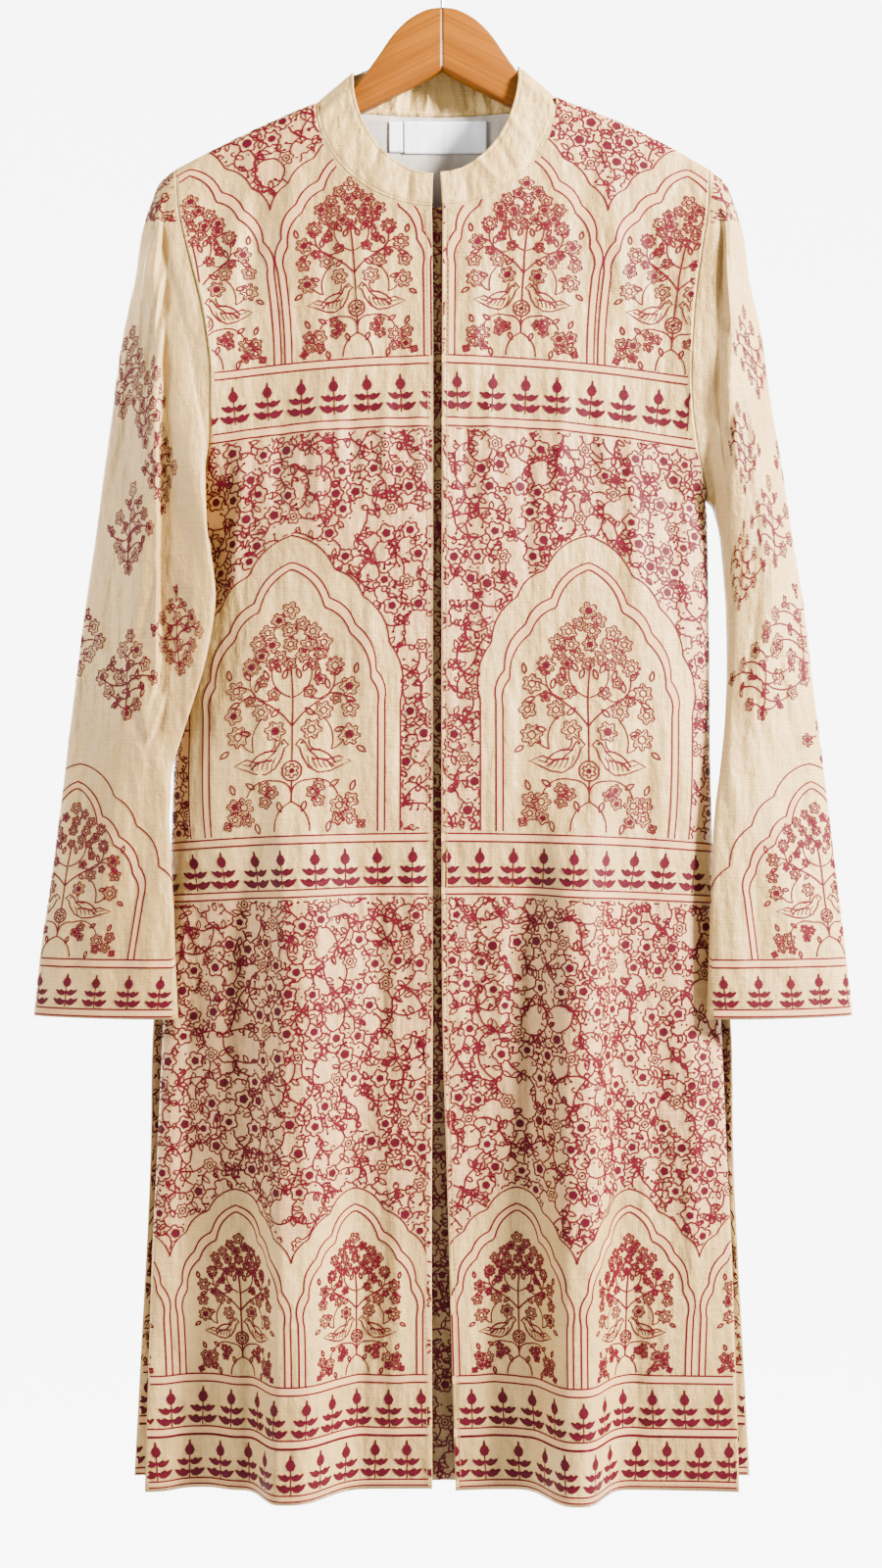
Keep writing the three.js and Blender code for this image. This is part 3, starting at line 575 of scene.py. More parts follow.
@dataclass
class ClothSheet:
    """A piece of cloth as a thin wall under its outer face."""

    name: str
    points: Array = field(init=False, repr=False)
    outward: Array = field(init=False, repr=False)
    cloth: float = field(init=False, default=0.9)
    wrapped: bool = field(init=False, default=False)

    def lifted(self, lift: float) -> Array:
        """The outer face's points, moved off the cloth."""
        return self.points + self.outward * lift

    def build(self, material: bpy.types.Material) -> bpy.types.Object:
        """Make the sheet's object."""
        return add_object(self.name, *wall(self.points, self.outward, self.cloth, self.wrapped), material)


# ---- Panels of the body ----


@dataclass
class BodyPanel(ClothSheet):
    """A front or the back: a fine sheet on the body's form, with cloth places for its print."""

    face: Face
    form: BodyForm
    side: Side | None = None
    column_step: float = 2.2
    widest: float = 250.0
    upper_rows: int = 62
    lower_rows: int = 112
    row_power: float = 1.8
    neck_columns: tuple[float, ...] = (-4.5, -3, -2, -1.2, -0.6, -0.25, 0, 0.4, 1)
    top_tries: int = 60
    top_share: float = 0.6
    measured_columns: int = 700
    measured_rise: float = 8.0
    off: float = 9.0
    digits: int = 9

    def __post_init__(self) -> None:
        """Work out the sheet's points."""
        form = self.form
        self.low = form.neck_front if self.face is Face.FRONT else form.neck_back
        self.hem = form.hem if self.face is Face.FRONT else form.back_hem
        even = np.linspace(0.0, 1.0, int(self.widest / self.column_step))
        near_neck = (form.neck_half + np.array(self.neck_columns)) / form.shoulder_x
        if self.face is Face.FRONT:
            near_neck = near_neck + self.side.value * form.neck_x / form.shoulder_x
            columns = [even, near_neck]
        else:
            right = near_neck - form.neck_x / form.shoulder_x
            left = near_neck + form.neck_x / form.shoulder_x
            columns = [-even, even, -right, left]
        self.columns = np.unique(np.round(np.concatenate(columns), self.digits))
        tops = self.column_tops()
        upper = (np.arange(self.upper_rows) / self.upper_rows) ** self.row_power
        lower = np.linspace(0.0, 1.0, self.lower_rows + 1)
        heights = np.concatenate([
            mix(tops[None, :], form.armpit, upper[:, None]),
            np.broadcast_to(mix(form.armpit, self.hem, lower[:, None]), (len(lower), len(tops))),
        ])
        self.tops = tops
        self.row_heights = heights
        self.points = self.surface(self.columns[None, :], heights)
        self.outward = self.normals(self.columns[None, :], heights)
        self.cloth_places = self.measure_cloth()

    def x_at(self, u: Array, z: Array) -> Array:
        """Place across of a column at a height; u is 0 at the inner edge and 1 at the side.

        Args:
            u: columns.
            z: heights.

        Returns:
            Places across, in millimetres.
        """
        form = self.form
        sign = self.side.value if self.side else np.where(u < 0, -1.0, 1.0)
        reach = sign * form.half_width(self.face, z, sign) + form.shift(z)
        return reach * self.share_at(u, z)

    def share_at(self, u: Array, z: Array) -> Array:
        """Share of the half width that a column stands at.

        Args:
            u: columns.
            z: heights.

        Returns:
            Shares, 0 at the centre line and 1 at the side.
        """
        if self.face is Face.BACK:
            return np.abs(u) + 0.0 * z
        edge = self.form.track(self.form.centre_edges, self.side.name.lower()).at(z)
        start = edge / self.form.half_width(self.face, z, self.side.value)
        return start + u * (1 - start)

    def column_tops(self) -> Array:
        """Height of each column's top end, by stepping to where the column meets the top edge.

        Returns:
            Heights, one a column.
        """
        z = np.full(self.columns.shape, self.form.neck_point_z)
        for _ in range(self.top_tries):
            z = mix(z, self.form.top_edge(self.x_at(self.columns, z), self.low), self.top_share)
        return z

    def lift(self, x: Array, z: Array) -> Array:
        """How far the wearer's left front stands over the placket along its edge.

        Args:
            x: places across, in millimetres.
            z: heights.

        Returns:
            Distances.
        """
        if self.side is not Side.LEFT:
            return np.zeros(np.broadcast(x, z).shape)
        edge = self.form.track(self.form.centre_edges, "left").at(z)
        return self.form.lap_lift * np.exp(-np.maximum(0.0, x - edge) / self.form.lap_spread)

    def surface(self, u: Array, z: Array) -> Array:
        """Points of the outer face at columns u and row heights z.

        Args:
            u: columns.
            z: row heights.

        Returns:
            The points, in millimetres.
        """
        form = self.form
        share = np.clip(self.share_at(u, z), 0.0, 1.0)
        down = ease((form.slit_top - z) / (form.slit_top - form.hem))
        low = z - form.hem_droop * share**2 * down
        x = self.x_at(u, low)
        share = np.clip(self.share_at(u, low), 0.0, 1.0)
        y = self.face.value * (form.depth(self.face, x, low, share) + self.lift(x, low))
        return np.stack(np.broadcast_arrays(x, y, low), axis=-1)

    def normals(self, u: Array, z: Array) -> Array:
        """Unit vectors out of the cloth, from small steps over the surface.

        Args:
            u: columns.
            z: row heights.

        Returns:
            The vectors.
        """
        step_u, step_z = 0.0015, 0.3
        across = self.surface(u + step_u, z) - self.surface(u - step_u, z)
        down = self.surface(u, z + step_z) - self.surface(u, z - step_z)
        return facing(unit(np.cross(across, down)), np.array([0.0, self.face.value, 0.0]))

    def measure_cloth(self) -> list[tuple[float, Array, Array]]:
        """The cloth's own width coordinate: at each height, distance along the cloth against columns.

        Returns:
            Rows of a height, distances and their columns.
        """
        rows = []
        columns = np.linspace(-1.0 if self.face is Face.BACK else 0.0, 1.0, self.measured_columns)
        for z in np.arange(self.form.neck_point_z, self.hem - 1.0, -self.measured_rise):
            p = self.surface(columns, np.array(float(z)))
            run = run_along(p[:, :2])
            if self.face is Face.BACK:
                run = run - np.interp(0.0, columns, run)
            rows.append((float(z), run, columns))
        return rows

    def cloth_of_points(self) -> Array:
        """Distance across the cloth of every point of the sheet.

        Returns:
            Distances, rows by columns.
        """
        heights = np.array([row[0] for row in self.cloth_places])
        runs = np.array([np.interp(self.columns, columns, run) for _, run, columns in self.cloth_places])
        k = np.clip((heights[0] - self.row_heights) / self.measured_rise, 0.0, len(heights) - 1.001)
        low = k.astype(int)
        column = np.broadcast_to(np.arange(len(self.columns)), k.shape)
        return mix(runs[low, column], runs[low + 1, column], k - low)

    def column_of(self, s: Array, z: Array) -> Array:
        """The column that lies a distance s along the cloth at a row height z.

        Args:
            s: distances across the cloth.
            z: row heights.

        Returns:
            The columns, or `off` where the cloth ends before.
        """
        k = np.clip((self.cloth_places[0][0] - z) / self.measured_rise, 0.0, len(self.cloth_places) - 1.001)
        low = k.astype(int)
        u = np.empty(s.shape)
        for i in np.unique(low):
            here = low == i
            _, run_a, columns = self.cloth_places[i]
            _, run_b, _ = self.cloth_places[i + 1]
            a, b = (np.interp(s[here], run, columns, left=self.off, right=self.off) for run in (run_a, run_b))
            u[here] = np.where((a == self.off) | (b == self.off), self.off, mix(a, b, k[here] - i))
        return u

    def place(self, s: Array, h: Array, lift: float) -> tuple[Array, Array]:
        """Put print places on the cloth.

        Args:
            s: distances across the cloth, from the inner edge or the back's middle.
            h: heights on the cloth.
            lift: how far off the cloth the print's face lies.

        Returns:
            The points, and which of them are on the cloth.
        """
        u = self.column_of(s, h)
        c = np.interp(u, self.columns, np.arange(len(self.columns)), left=-1, right=-1)
        ok = (c >= 0) & (u != self.off)
        c = np.clip(c, 0, len(self.columns) - 1.001)
        top = np.interp(c, np.arange(len(self.tops)), self.tops)
        form = self.form
        up = np.clip((top - h) / np.maximum(top - form.armpit, 1e-6), -1.0, 1.0)
        ok &= (up >= 0) & (h >= self.hem)
        above = self.upper_rows * np.maximum(up, 0.0) ** (1 / self.row_power)
        below = self.upper_rows + self.lower_rows * (form.armpit - h) / (form.armpit - self.hem)
        r = np.where(h > form.armpit, above, below)
        return on_grid(self.lifted(lift), np.clip(r, 0, len(self.points) - 1.001), c), ok


# ---- Sleeves ----


class Ring(NamedTuple):
    """One ring of a sleeve: its fold lines on the outside (o) and inside (i) of the arm."""

    ox: float
    oz: float
    ix: float
    iy: float
    iz: float
    front: float
    back: float
    over: float


RIGHT_RINGS = table(
    Ring,
    (210, -189, 189, 0, -452, 26, 22, 0), (224, -200, 193, -4, -458, 24, 23, 4),
    (230.5, -214, 189, -15, -465, 20, 23, 6), (240, -241, 183, -26, -477, 17, 23, 5),
    (245.6, -278, 179, -33, -492, 14, 23, 3), (252.5, -322, 176.5, -35, -511, 12, 23, 1),
    (259.3, -370, 175, -35, -532, 11, 23, 0), (266.8, -424, 178, -34, -556, 11, 23, 0),
    (273.8, -478, 184, -32, -583, 11, 23, 0), (281.5, -530, 193, -29, -611, 11, 22, 0),
    (287.5, -577, 202, -27, -638, 11, 22, 0), (293, -620, 210, -25, -664, 11, 21, 0),
    (298, -662, 213, -24, -694, 11, 20, 0), (303.5, -708, 211, -24, -730, 11, 19, 0),
    (309.8, -755, 209, -24, -768, 12, 18, 0), (317.5, -806, 207.5, -24, -812, 13, 18, 0),
    (323, -858, 205.5, -24, -858, 14, 18, 0),
)
LEFT_RINGS = table(
    Ring,
    (210, -189, 206.3, 0, -452, 26, 22, 0), (224, -200, 211, -3, -458, 26, 23, 0),
    (230.5, -214, 214, -6, -468, 25, 23, 0), (239.7, -241, 217, -8, -481, 24, 23, 0),
    (245.4, -278, 219, -9, -496, 22, 23, 0), (252.7, -322, 221, -10, -513, 20, 23, 0),
    (259.5, -370, 222.5, -11, -533, 18, 23, 0), (268.7, -424, 223, -12, -557, 17, 23, 0),
    (277, -478, 223, -14, -584, 16, 22, 0), (285.4, -530, 222, -16, -612, 15, 22, 0),
    (291.2, -577, 220, -18, -639, 14, 22, 0), (296.2, -620, 217, -20, -665, 13, 21, 0),
    (301.7, -662, 213, -22, -694, 12, 20, 0), (307.2, -708, 210.5, -23, -730, 12, 19, 0),
    (312.9, -755, 209, -24, -768, 12, 18, 0), (319.2, -806, 207.5, -24, -812, 13, 18, 0),
    (324.6, -858, 206, -24, -858, 14, 18, 0),
)


@dataclass
class Sleeve(ClothSheet):
    """A straight sleeve, pressed flat with a long crease where its outer half folds over the inner."""

    side: Side
    form: BodyForm
    rings: tuple[Ring, ...]
    crease_fade: float
    crease_end: float
    crease_x: float = 221.0
    crease_column: int = 7
    crease_last: float = 0.9
    crease_step: float = 1.8
    crease_high: float = 8.0
    crease_reach: float = 26.0
    crease_from: float = -205.0
    crease_full: float = -260.0
    overhang: float = 0.7
    clear_inner: float = 3.0
    clear_spread: float = 26.0
    per_ring: int = 7
    per_column: int = 5
    arc_step: float = 4.0
    arc_reach: float = 170.0
    smooth_rows: float = 12.0
    shares: tuple[float, ...] = (
        0, 0.006, 0.02, 0.055, 0.12, 0.21, 0.32, 0.44, 0.56, 0.68, 0.79, 0.88, 0.95, 1,
    )
    creases: tuple[Crease, ...] = ()

    def __post_init__(self) -> None:
        """Work out the sleeve's points, ring by ring, and the rings between them."""
        self.wrapped = True
        last = len(self.shares) - 1
        steps = np.linspace(0, last, last * self.per_column + 1)
        rows = []
        for k in range(len(self.rings)):
            fronts = np.interp(steps, np.arange(last + 1), self.ring_shares(k, Face.FRONT))
            backs = np.interp(steps, np.arange(last + 1), self.ring_shares(k, Face.BACK))
            front = self.ring_points(k, fronts, Face.FRONT)
            back = self.ring_points(k, backs, Face.BACK)
            rows.append(np.concatenate([front, back[-2:0:-1]]))
        self.half = len(steps) - 1
        self.points = self.between(np.array(rows))
        centres = self.points.mean(axis=1, keepdims=True)
        n = grid_normals(self.points, wrapped=True)
        self.outward = -n if np.mean(np.sum(n * (self.points - centres), axis=-1)) < 0 else n
        self.wrinkle()
        self.unroll()

    def wrinkle(self) -> None:
        """Add the small creases, placed by distance round the sleeve and by height."""
        columns = np.arange(self.points.shape[1])
        steps = np.linalg.norm(self.points - np.roll(self.points, 1, axis=1), axis=2)
        steps[:, 0] = 0.0
        run = np.cumsum(steps, axis=1)
        whole = run[:, [-1]] + steps[:, [1]]
        around = np.where(columns <= self.half, run, run - whole)
        fade = ease(np.arange(len(self.points)) / self.smooth_rows)[:, None]
        height = crease_sum(self.creases, around, self.points[..., 2]) * fade
        self.points = self.points + self.outward * height[..., None]

    def strength(self, z: Array) -> Array:
        """How strong the long crease is at a height."""
        begun = ease((self.crease_from - z) / (self.crease_from - self.crease_full))
        return begun * (1 - ease((self.crease_fade - z) / (self.crease_fade - self.crease_end)))

    def ring_shares(self, k: int, face: Face) -> Array:
        """Shares across a ring for each column, gathered on the crease in the front.

        Args:
            k: the ring's number, from the armhole.
            face: front or back half of the ring.

        Returns:
            The shares, 0 on the outer fold line and 1 on the inner.
        """
        last = len(self.shares) - 1
        j = np.arange(last + 1)
        even = mix(np.array(self.shares), j / last, ease(np.array(k / 4)))
        if face is Face.BACK:
            return even
        ring = self.rings[k]
        at = min(self.crease_last, (ring.ox - self.crease_x) / (ring.ox - ring.ix))
        gather = ease(np.array((k - 1) / 2)) * self.strength(np.array(mix(ring.oz, ring.iz, at)))
        inner = at + self.crease_step / 85
        beyond = mix(inner, 1.0, (j - self.crease_column - 1) / (last - self.crease_column - 1))
        on_crease = np.where(j <= self.crease_column, at * j / self.crease_column, beyond)
        return mix(even, on_crease, gather)

    def crease_height(self, x: Array, z: Array) -> Array:
        """Height of the long crease over the sleeve's own roundness.

        Args:
            x: places across, in millimetres.
            z: heights.

        Returns:
            Heights over the sleeve.
        """
        away = x - self.crease_x
        shape = np.where(away >= -0.01, bell(away, self.crease_reach), 1 - ease(-away / self.crease_step))
        return self.crease_high * self.strength(z) * shape

    def ring_points(self, k: int, t: Array, face: Face) -> Array:
        """Points of one ring.

        Args:
            k: the ring's number, from the armhole.
            t: shares from the outer fold line to the inner one.
            face: front or back half of the ring.

        Returns:
            The points.
        """
        form, ring, side = self.form, self.rings[k], self.side.value
        sign = np.array(float(side))
        z = mix(ring.oz, ring.iz, t)
        if k == 0:
            x = side * (form.half_width(face, z, sign) + form.seam_gap) + form.shift(z)
            seam = form.depth(face, np.full(t.shape, side * form.shoulder_x), z, np.ones(t.shape))
            return np.stack([x, face.value * seam, z], axis=-1)
        start = mix(form.shoulder_x, form.half_width(Face.FRONT, np.array(form.armpit), sign), t)
        bow = (form.half_width(Face.FRONT, z, sign) - start) * max(0.0, 1 - k / 5)
        shift = side * form.shift(z) * max(0.0, 1 - k / 4)
        over = ring.over * ease((t - 0.55) / 0.25) * ease((1.02 - t) / 0.14)
        x = mix(ring.ox, ring.ix, t) + bow + shift - (over if face is Face.FRONT else 0.0)
        base = ring.iy * t**1.3
        arch = np.sin(np.pi * np.clip(t, 0, 1))
        if face is Face.FRONT:
            y = base - ring.front * arch**0.55 - self.crease_height(x, z) - over * self.overhang
            return np.stack([side * x, y, z], axis=-1)
        under = mix(ease((form.armpit - 6 - z) / 26), 1.0, ease(np.array((k - 4) / 3)))
        body_side = form.half_width(Face.BACK, z, sign) + self.clear_inner
        outside = mix(np.maximum(x, body_side + side * form.shift(z)), x, under)
        clear = mix(1.0, ease((x - body_side) / self.clear_spread), ease(np.array(k / 4)))
        return np.stack([side * outside, base * under + ring.back * arch**0.7 * clear, z], axis=-1)

    def between(self, rows: Array) -> Array:
        """Smooth rings between the given ones.

        Args:
            rows: the given rings' points.

        Returns:
            The points of all rings.
        """
        last = len(rows) - 1
        k = np.linspace(0, last, last * self.per_ring + 1)
        i = np.minimum(k.astype(int), last - 1)
        t = (k - i)[:, None, None]
        slope = np.gradient(rows, axis=0)
        slope[0] = rows[1] - rows[0]
        a, b, sa, sb = rows[i], rows[i + 1], slope[i], slope[i + 1]
        sa = np.where(i[:, None, None] == 0, rows[1] - rows[0], sa)
        return smooth_step(a, b, sa, sb, t)

    def unroll(self) -> None:
        """Note where each distance from the outer fold lies on every ring, front distances above 0."""
        columns = np.arange(-self.half, self.half + 1)
        p = self.points[:, columns % self.points.shape[1]]
        steps = np.linalg.norm(np.diff(p, axis=1), axis=2)
        run = np.concatenate([np.zeros((len(p), 1)), np.cumsum(steps, axis=1)], axis=1)
        run = run - run[:, [self.half]]
        self.arcs = np.arange(-self.arc_reach, self.arc_reach, self.arc_step)
        self.arc_column = np.array([
            np.interp(self.arcs, row, columns, left=np.nan, right=np.nan) for row in run])
        heights = zip(run, p[..., 2])
        self.arc_z = np.array([np.interp(self.arcs, row, z, left=np.nan, right=np.nan) for row, z in heights])

    def place(self, s: Array, h: Array, lift: float) -> tuple[Array, Array]:
        """Put print places on the sleeve.

        Args:
            s: distances round the sleeve from its outer fold, the front's above 0.
            h: heights.
            lift: how far off the cloth the print's face lies.

        Returns:
            The points, and which of them are on the cloth.
        """
        k = np.clip((s - self.arcs[0]) / self.arc_step, 0, len(self.arcs) - 1.001)
        low = k.astype(int)
        rows = np.full(s.shape, -1.0)
        columns = np.zeros(s.shape)
        count = np.arange(len(self.points), dtype=float)
        for i in np.unique(low):
            here = low == i
            found = []
            for n in (i, i + 1):
                known = ~np.isnan(self.arc_z[:, n])
                if known.sum() < 2:
                    break
                z, r = self.arc_z[known, n][::-1], count[known][::-1]
                row = np.interp(h[here], z, r, left=-1.0, right=-1.0)
                found.append((row, np.interp(row, count[known], self.arc_column[known, n])))
            if len(found) == 2:
                (ra, ca), (rb, cb) = found
                rows[here] = np.where((ra < 0) | (rb < 0), -1.0, mix(ra, rb, k[here] - i))
                columns[here] = mix(ca, cb, k[here] - i)
        ok = rows >= 0
        return on_grid(self.lifted(lift), np.clip(rows, 0, len(self.points) - 1.001), columns), ok


# ---- The print: shapes on the flat cloth ----


class Ink(Enum):
    """What a printed shape is laid in; the value is the finish's name."""

    LINE = "maroon_line"
    BUD = "maroon_solid"
    GROUND = "pale_ground"
    THREAD = "sewing_thread"


def rosette(x: float, y: float, radius: float, petals: int, depth: float, turn: float = 0.0,
            points: int = 22) -> Array:
    """A closed outline with rounded petals.

    Args:
        x: the middle across.
        y: the middle's height.
        radius: out to the petals' tips.
        petals: how many there are.
        depth: how deep the notches go, as a share of the radius.
        turn: the first notch's angle.
        points: corners of the outline.

    Returns:
        The outline's points.
    """
    a = np.linspace(0, 2 * np.pi, points, endpoint=False)
    r = radius * (1 - depth + depth * np.abs(np.sin(petals * (a - turn) / 2)))
    return np.stack([x + r * np.cos(a), y + r * np.sin(a)], axis=1)


def leaf(x: float, y: float, angle: float, length: float, width: float, points: int = 5) -> Array:
    """A closed pointed leaf that starts at x, y and grows along an angle.

    Args:
        x: its foot's place across.
        y: its foot's height.
        angle: which way it grows.
        length: from foot to tip.
        width: across its middle.
        points: corners on each side.

    Returns:
        The outline's points.
    """
    t = np.linspace(0, 1, points + 2)
    half = width / 2 * np.sin(np.pi * t**0.85)
    along = np.concatenate([t, t[-2:0:-1]]) * length
    across = np.concatenate([half, -half[-2:0:-1]])
    c, s = math.cos(angle), math.sin(angle)
    return np.stack([x + along * c - across * s, y + along * s + across * c], axis=1)


def curl(x: float, y: float, angle: float, size: float, hand: float, points: int = 8) -> Array:
    """A tendril that leaves x, y along an angle and winds in on itself.

    Args:
        x: its foot's place across.
        y: its foot's height.
        angle: which way it starts.
        size: about how far it reaches.
        hand: 1 to wind to the left and -1 to the right.
        points: how many points it has.

    Returns:
        The line's points.
    """
    t = np.linspace(0, 1, points)
    turn = angle + hand * 4.6 * t**1.4
    step = size * (1.15 - 0.8 * t) / points * 2.0
    dx, dy = np.cos(turn) * step, np.sin(turn) * step
    return np.stack([x + np.cumsum(dx) - dx[0], y + np.cumsum(dy) - dy[0]], axis=1)


def bow(start: tuple[float, float], end: tuple[float, float], bulge: float, points: int = 9) -> Array:
    """A curve between two points that bulges to the left by a share of its length.

    Args:
        start: its first point.
        end: its last point.
        bulge: the bulge as a share of its length.
        points: how many points it has.

    Returns:
        The line's points.
    """
    a, b = np.array(start, float), np.array(end, float)
    t = np.linspace(0, 1, points)[:, None]
    side = np.array([-(b - a)[1], (b - a)[0]])
    return a + (b - a) * t + side * bulge * 4 * t * (1 - t)


@dataclass
class Pen:
    """Collects printed shapes on the flat cloth, each as a strip or fan of faces."""

    line: float = 1.25
    step: float = 3.0
    region: Callable[[Array], Array] | None = None
    shapes: dict[Ink, tuple[list[Array], list[Array]]] = field(default_factory=dict)
    sizes: dict[Ink, int] = field(default_factory=dict)

    def _store(self, ink: Ink, points: Array, faces: Array) -> None:
        """Keep a shape's points and faces under its ink.

        Args:
            ink: what it is laid in.
            points: its points.
            faces: their numbers in each face.
        """
        held = self.shapes.setdefault(ink, ([], []))
        start = self.sizes.get(ink, 0)
        held[0].append(points)
        held[1].append(faces + start)
        self.sizes[ink] = start + len(points)

    def stroke(
        self, path: Array, closed: bool = False, width: float | None = None, even: bool = False
    ) -> None:
        """Draw a line of even width.

        Args:
            path: its points.
            closed: whether it joins up with its start.
            width: its width, or the pen's own.
            even: whether to lay its points anew at even steps.
        """
        path = np.asarray(path, float)
        if closed:
            path = np.concatenate([path, path[:1]])
        if even:
            path = resample(path, max(2, int(run_along(path)[-1] / self.step) + 1))
        if closed:
            ahead = np.roll(path[:-1], -1, axis=0) - np.roll(path[:-1], 1, axis=0)
            ahead = np.concatenate([ahead, ahead[:1]])
        else:
            ahead = np.gradient(path, axis=0)
        side = unit(np.stack([-ahead[:, 1], ahead[:, 0]], axis=1)) * (width or self.line) / 2
        n = len(path)
        i = np.arange(n - 1)
        if self.region is not None:
            kept = self.region(path)
            i = i[kept[:-1] & kept[1:]]
        if len(i):
            quads = np.stack([i, i + 1, n + i + 1, n + i], axis=1)
            self._store(Ink.LINE, np.concatenate([path + side, path - side]), quads)

    def stitches(self, path: Array, length: float = 3.2, gap: float = 1.0, width: float = 0.55) -> None:
        """Sew a row of stitches along a path.

        Args:
            path: where the row runs.
            length: of one stitch.
            gap: between two stitches.
            width: of the thread.
        """
        start = np.arange(0.0, run_along(path)[-1] - length, length + gap)
        a, b = on_path(path, start), on_path(path, start + length)
        way = unit(b - a)
        side = np.stack([-way[:, 1], way[:, 0]], axis=1) * width / 2
        corners = np.stack([a + side, b + side, b - side, a - side], axis=1).reshape(-1, 2)
        self._store(Ink.THREAD, corners, np.arange(len(corners)).reshape(-1, 4))

    def blot(self, outline: Array, ink: Ink = Ink.BUD) -> None:
        """Fill a small shape that can be seen whole from its middle.

        Args:
            outline: the shape's closed outline.
            ink: what it is laid in.
        """
        outline = np.asarray(outline, float)
        if self.region is not None and not np.all(self.region(outline)):
            return
        n = len(outline)
        i = np.arange(n)
        middle = np.full(n, n)
        fans = np.stack([i, (i + 1) % n, middle, middle], axis=1)
        self._store(ink, np.concatenate([outline, outline.mean(axis=0, keepdims=True)]), fans)

    def strip(self, upper: Array, lower: Array) -> None:
        """Lay the pale ground between two lines with the same number of points.

        Args:
            upper: one line's points.
            lower: the other line's points.
        """
        n = len(upper)
        i = np.arange(n - 1)
        if self.region is not None:
            kept = self.region(upper) & self.region(lower)
            i = i[kept[:-1] & kept[1:]]
        quads = np.stack([i, i + 1, n + i + 1, n + i], axis=1)
        self._store(Ink.GROUND, np.concatenate([upper, lower]), quads)


@dataclass
class Sprig:
    """The solid sprig of the borders: a bud over two pairs of leaves on a stem."""

    height: float = 29.0
    spread: float = 11.6

    def draw(self, pen: Pen, x: float, base: float, turn: float = 0.0) -> None:
        """Draw one sprig.

        Args:
            pen: what draws it.
            x: the stem's place across.
            base: height of its foot.
            turn: how much its stem leans, as a slope.
        """
        h, w = self.height, self.spread

        def put(points: Array) -> Array:
            """Lean and place points of the sprig."""
            return np.stack([x + points[:, 0] * w + turn * points[:, 1] * h, base + points[:, 1] * h], axis=1)

        pen.stroke(put(np.array([(0, 0), (0.01, 0.2), (-0.01, 0.42), (0, 0.64)])), width=1.0)
        bud = np.array([(0, 0.6), (0.22, 0.65), (0.34, 0.76), (0.23, 0.87), (0.09, 0.92), (0.05, 1.04),
                        (-0.05, 1.04), (-0.09, 0.92), (-0.23, 0.87), (-0.34, 0.76), (-0.22, 0.65)])
        pen.blot(put(bud))
        blade = np.array([(0.0, 0.02), (0.2, -0.1), (0.48, -0.12), (0.76, -0.05), (0.94, 0.055), (1.04, 0.15),
                          (0.84, 0.15), (0.66, 0.11), (0.52, 0.17), (0.34, 0.14), (0.22, 0.07), (0.08, 0.1)])
        for level, size in ((0.14, 1.0), (0.43, 0.86)):
            for side in (-1, 1):
                pen.blot(put(blade * np.array([side * size, 0.82 * size]) + np.array([0, level])))


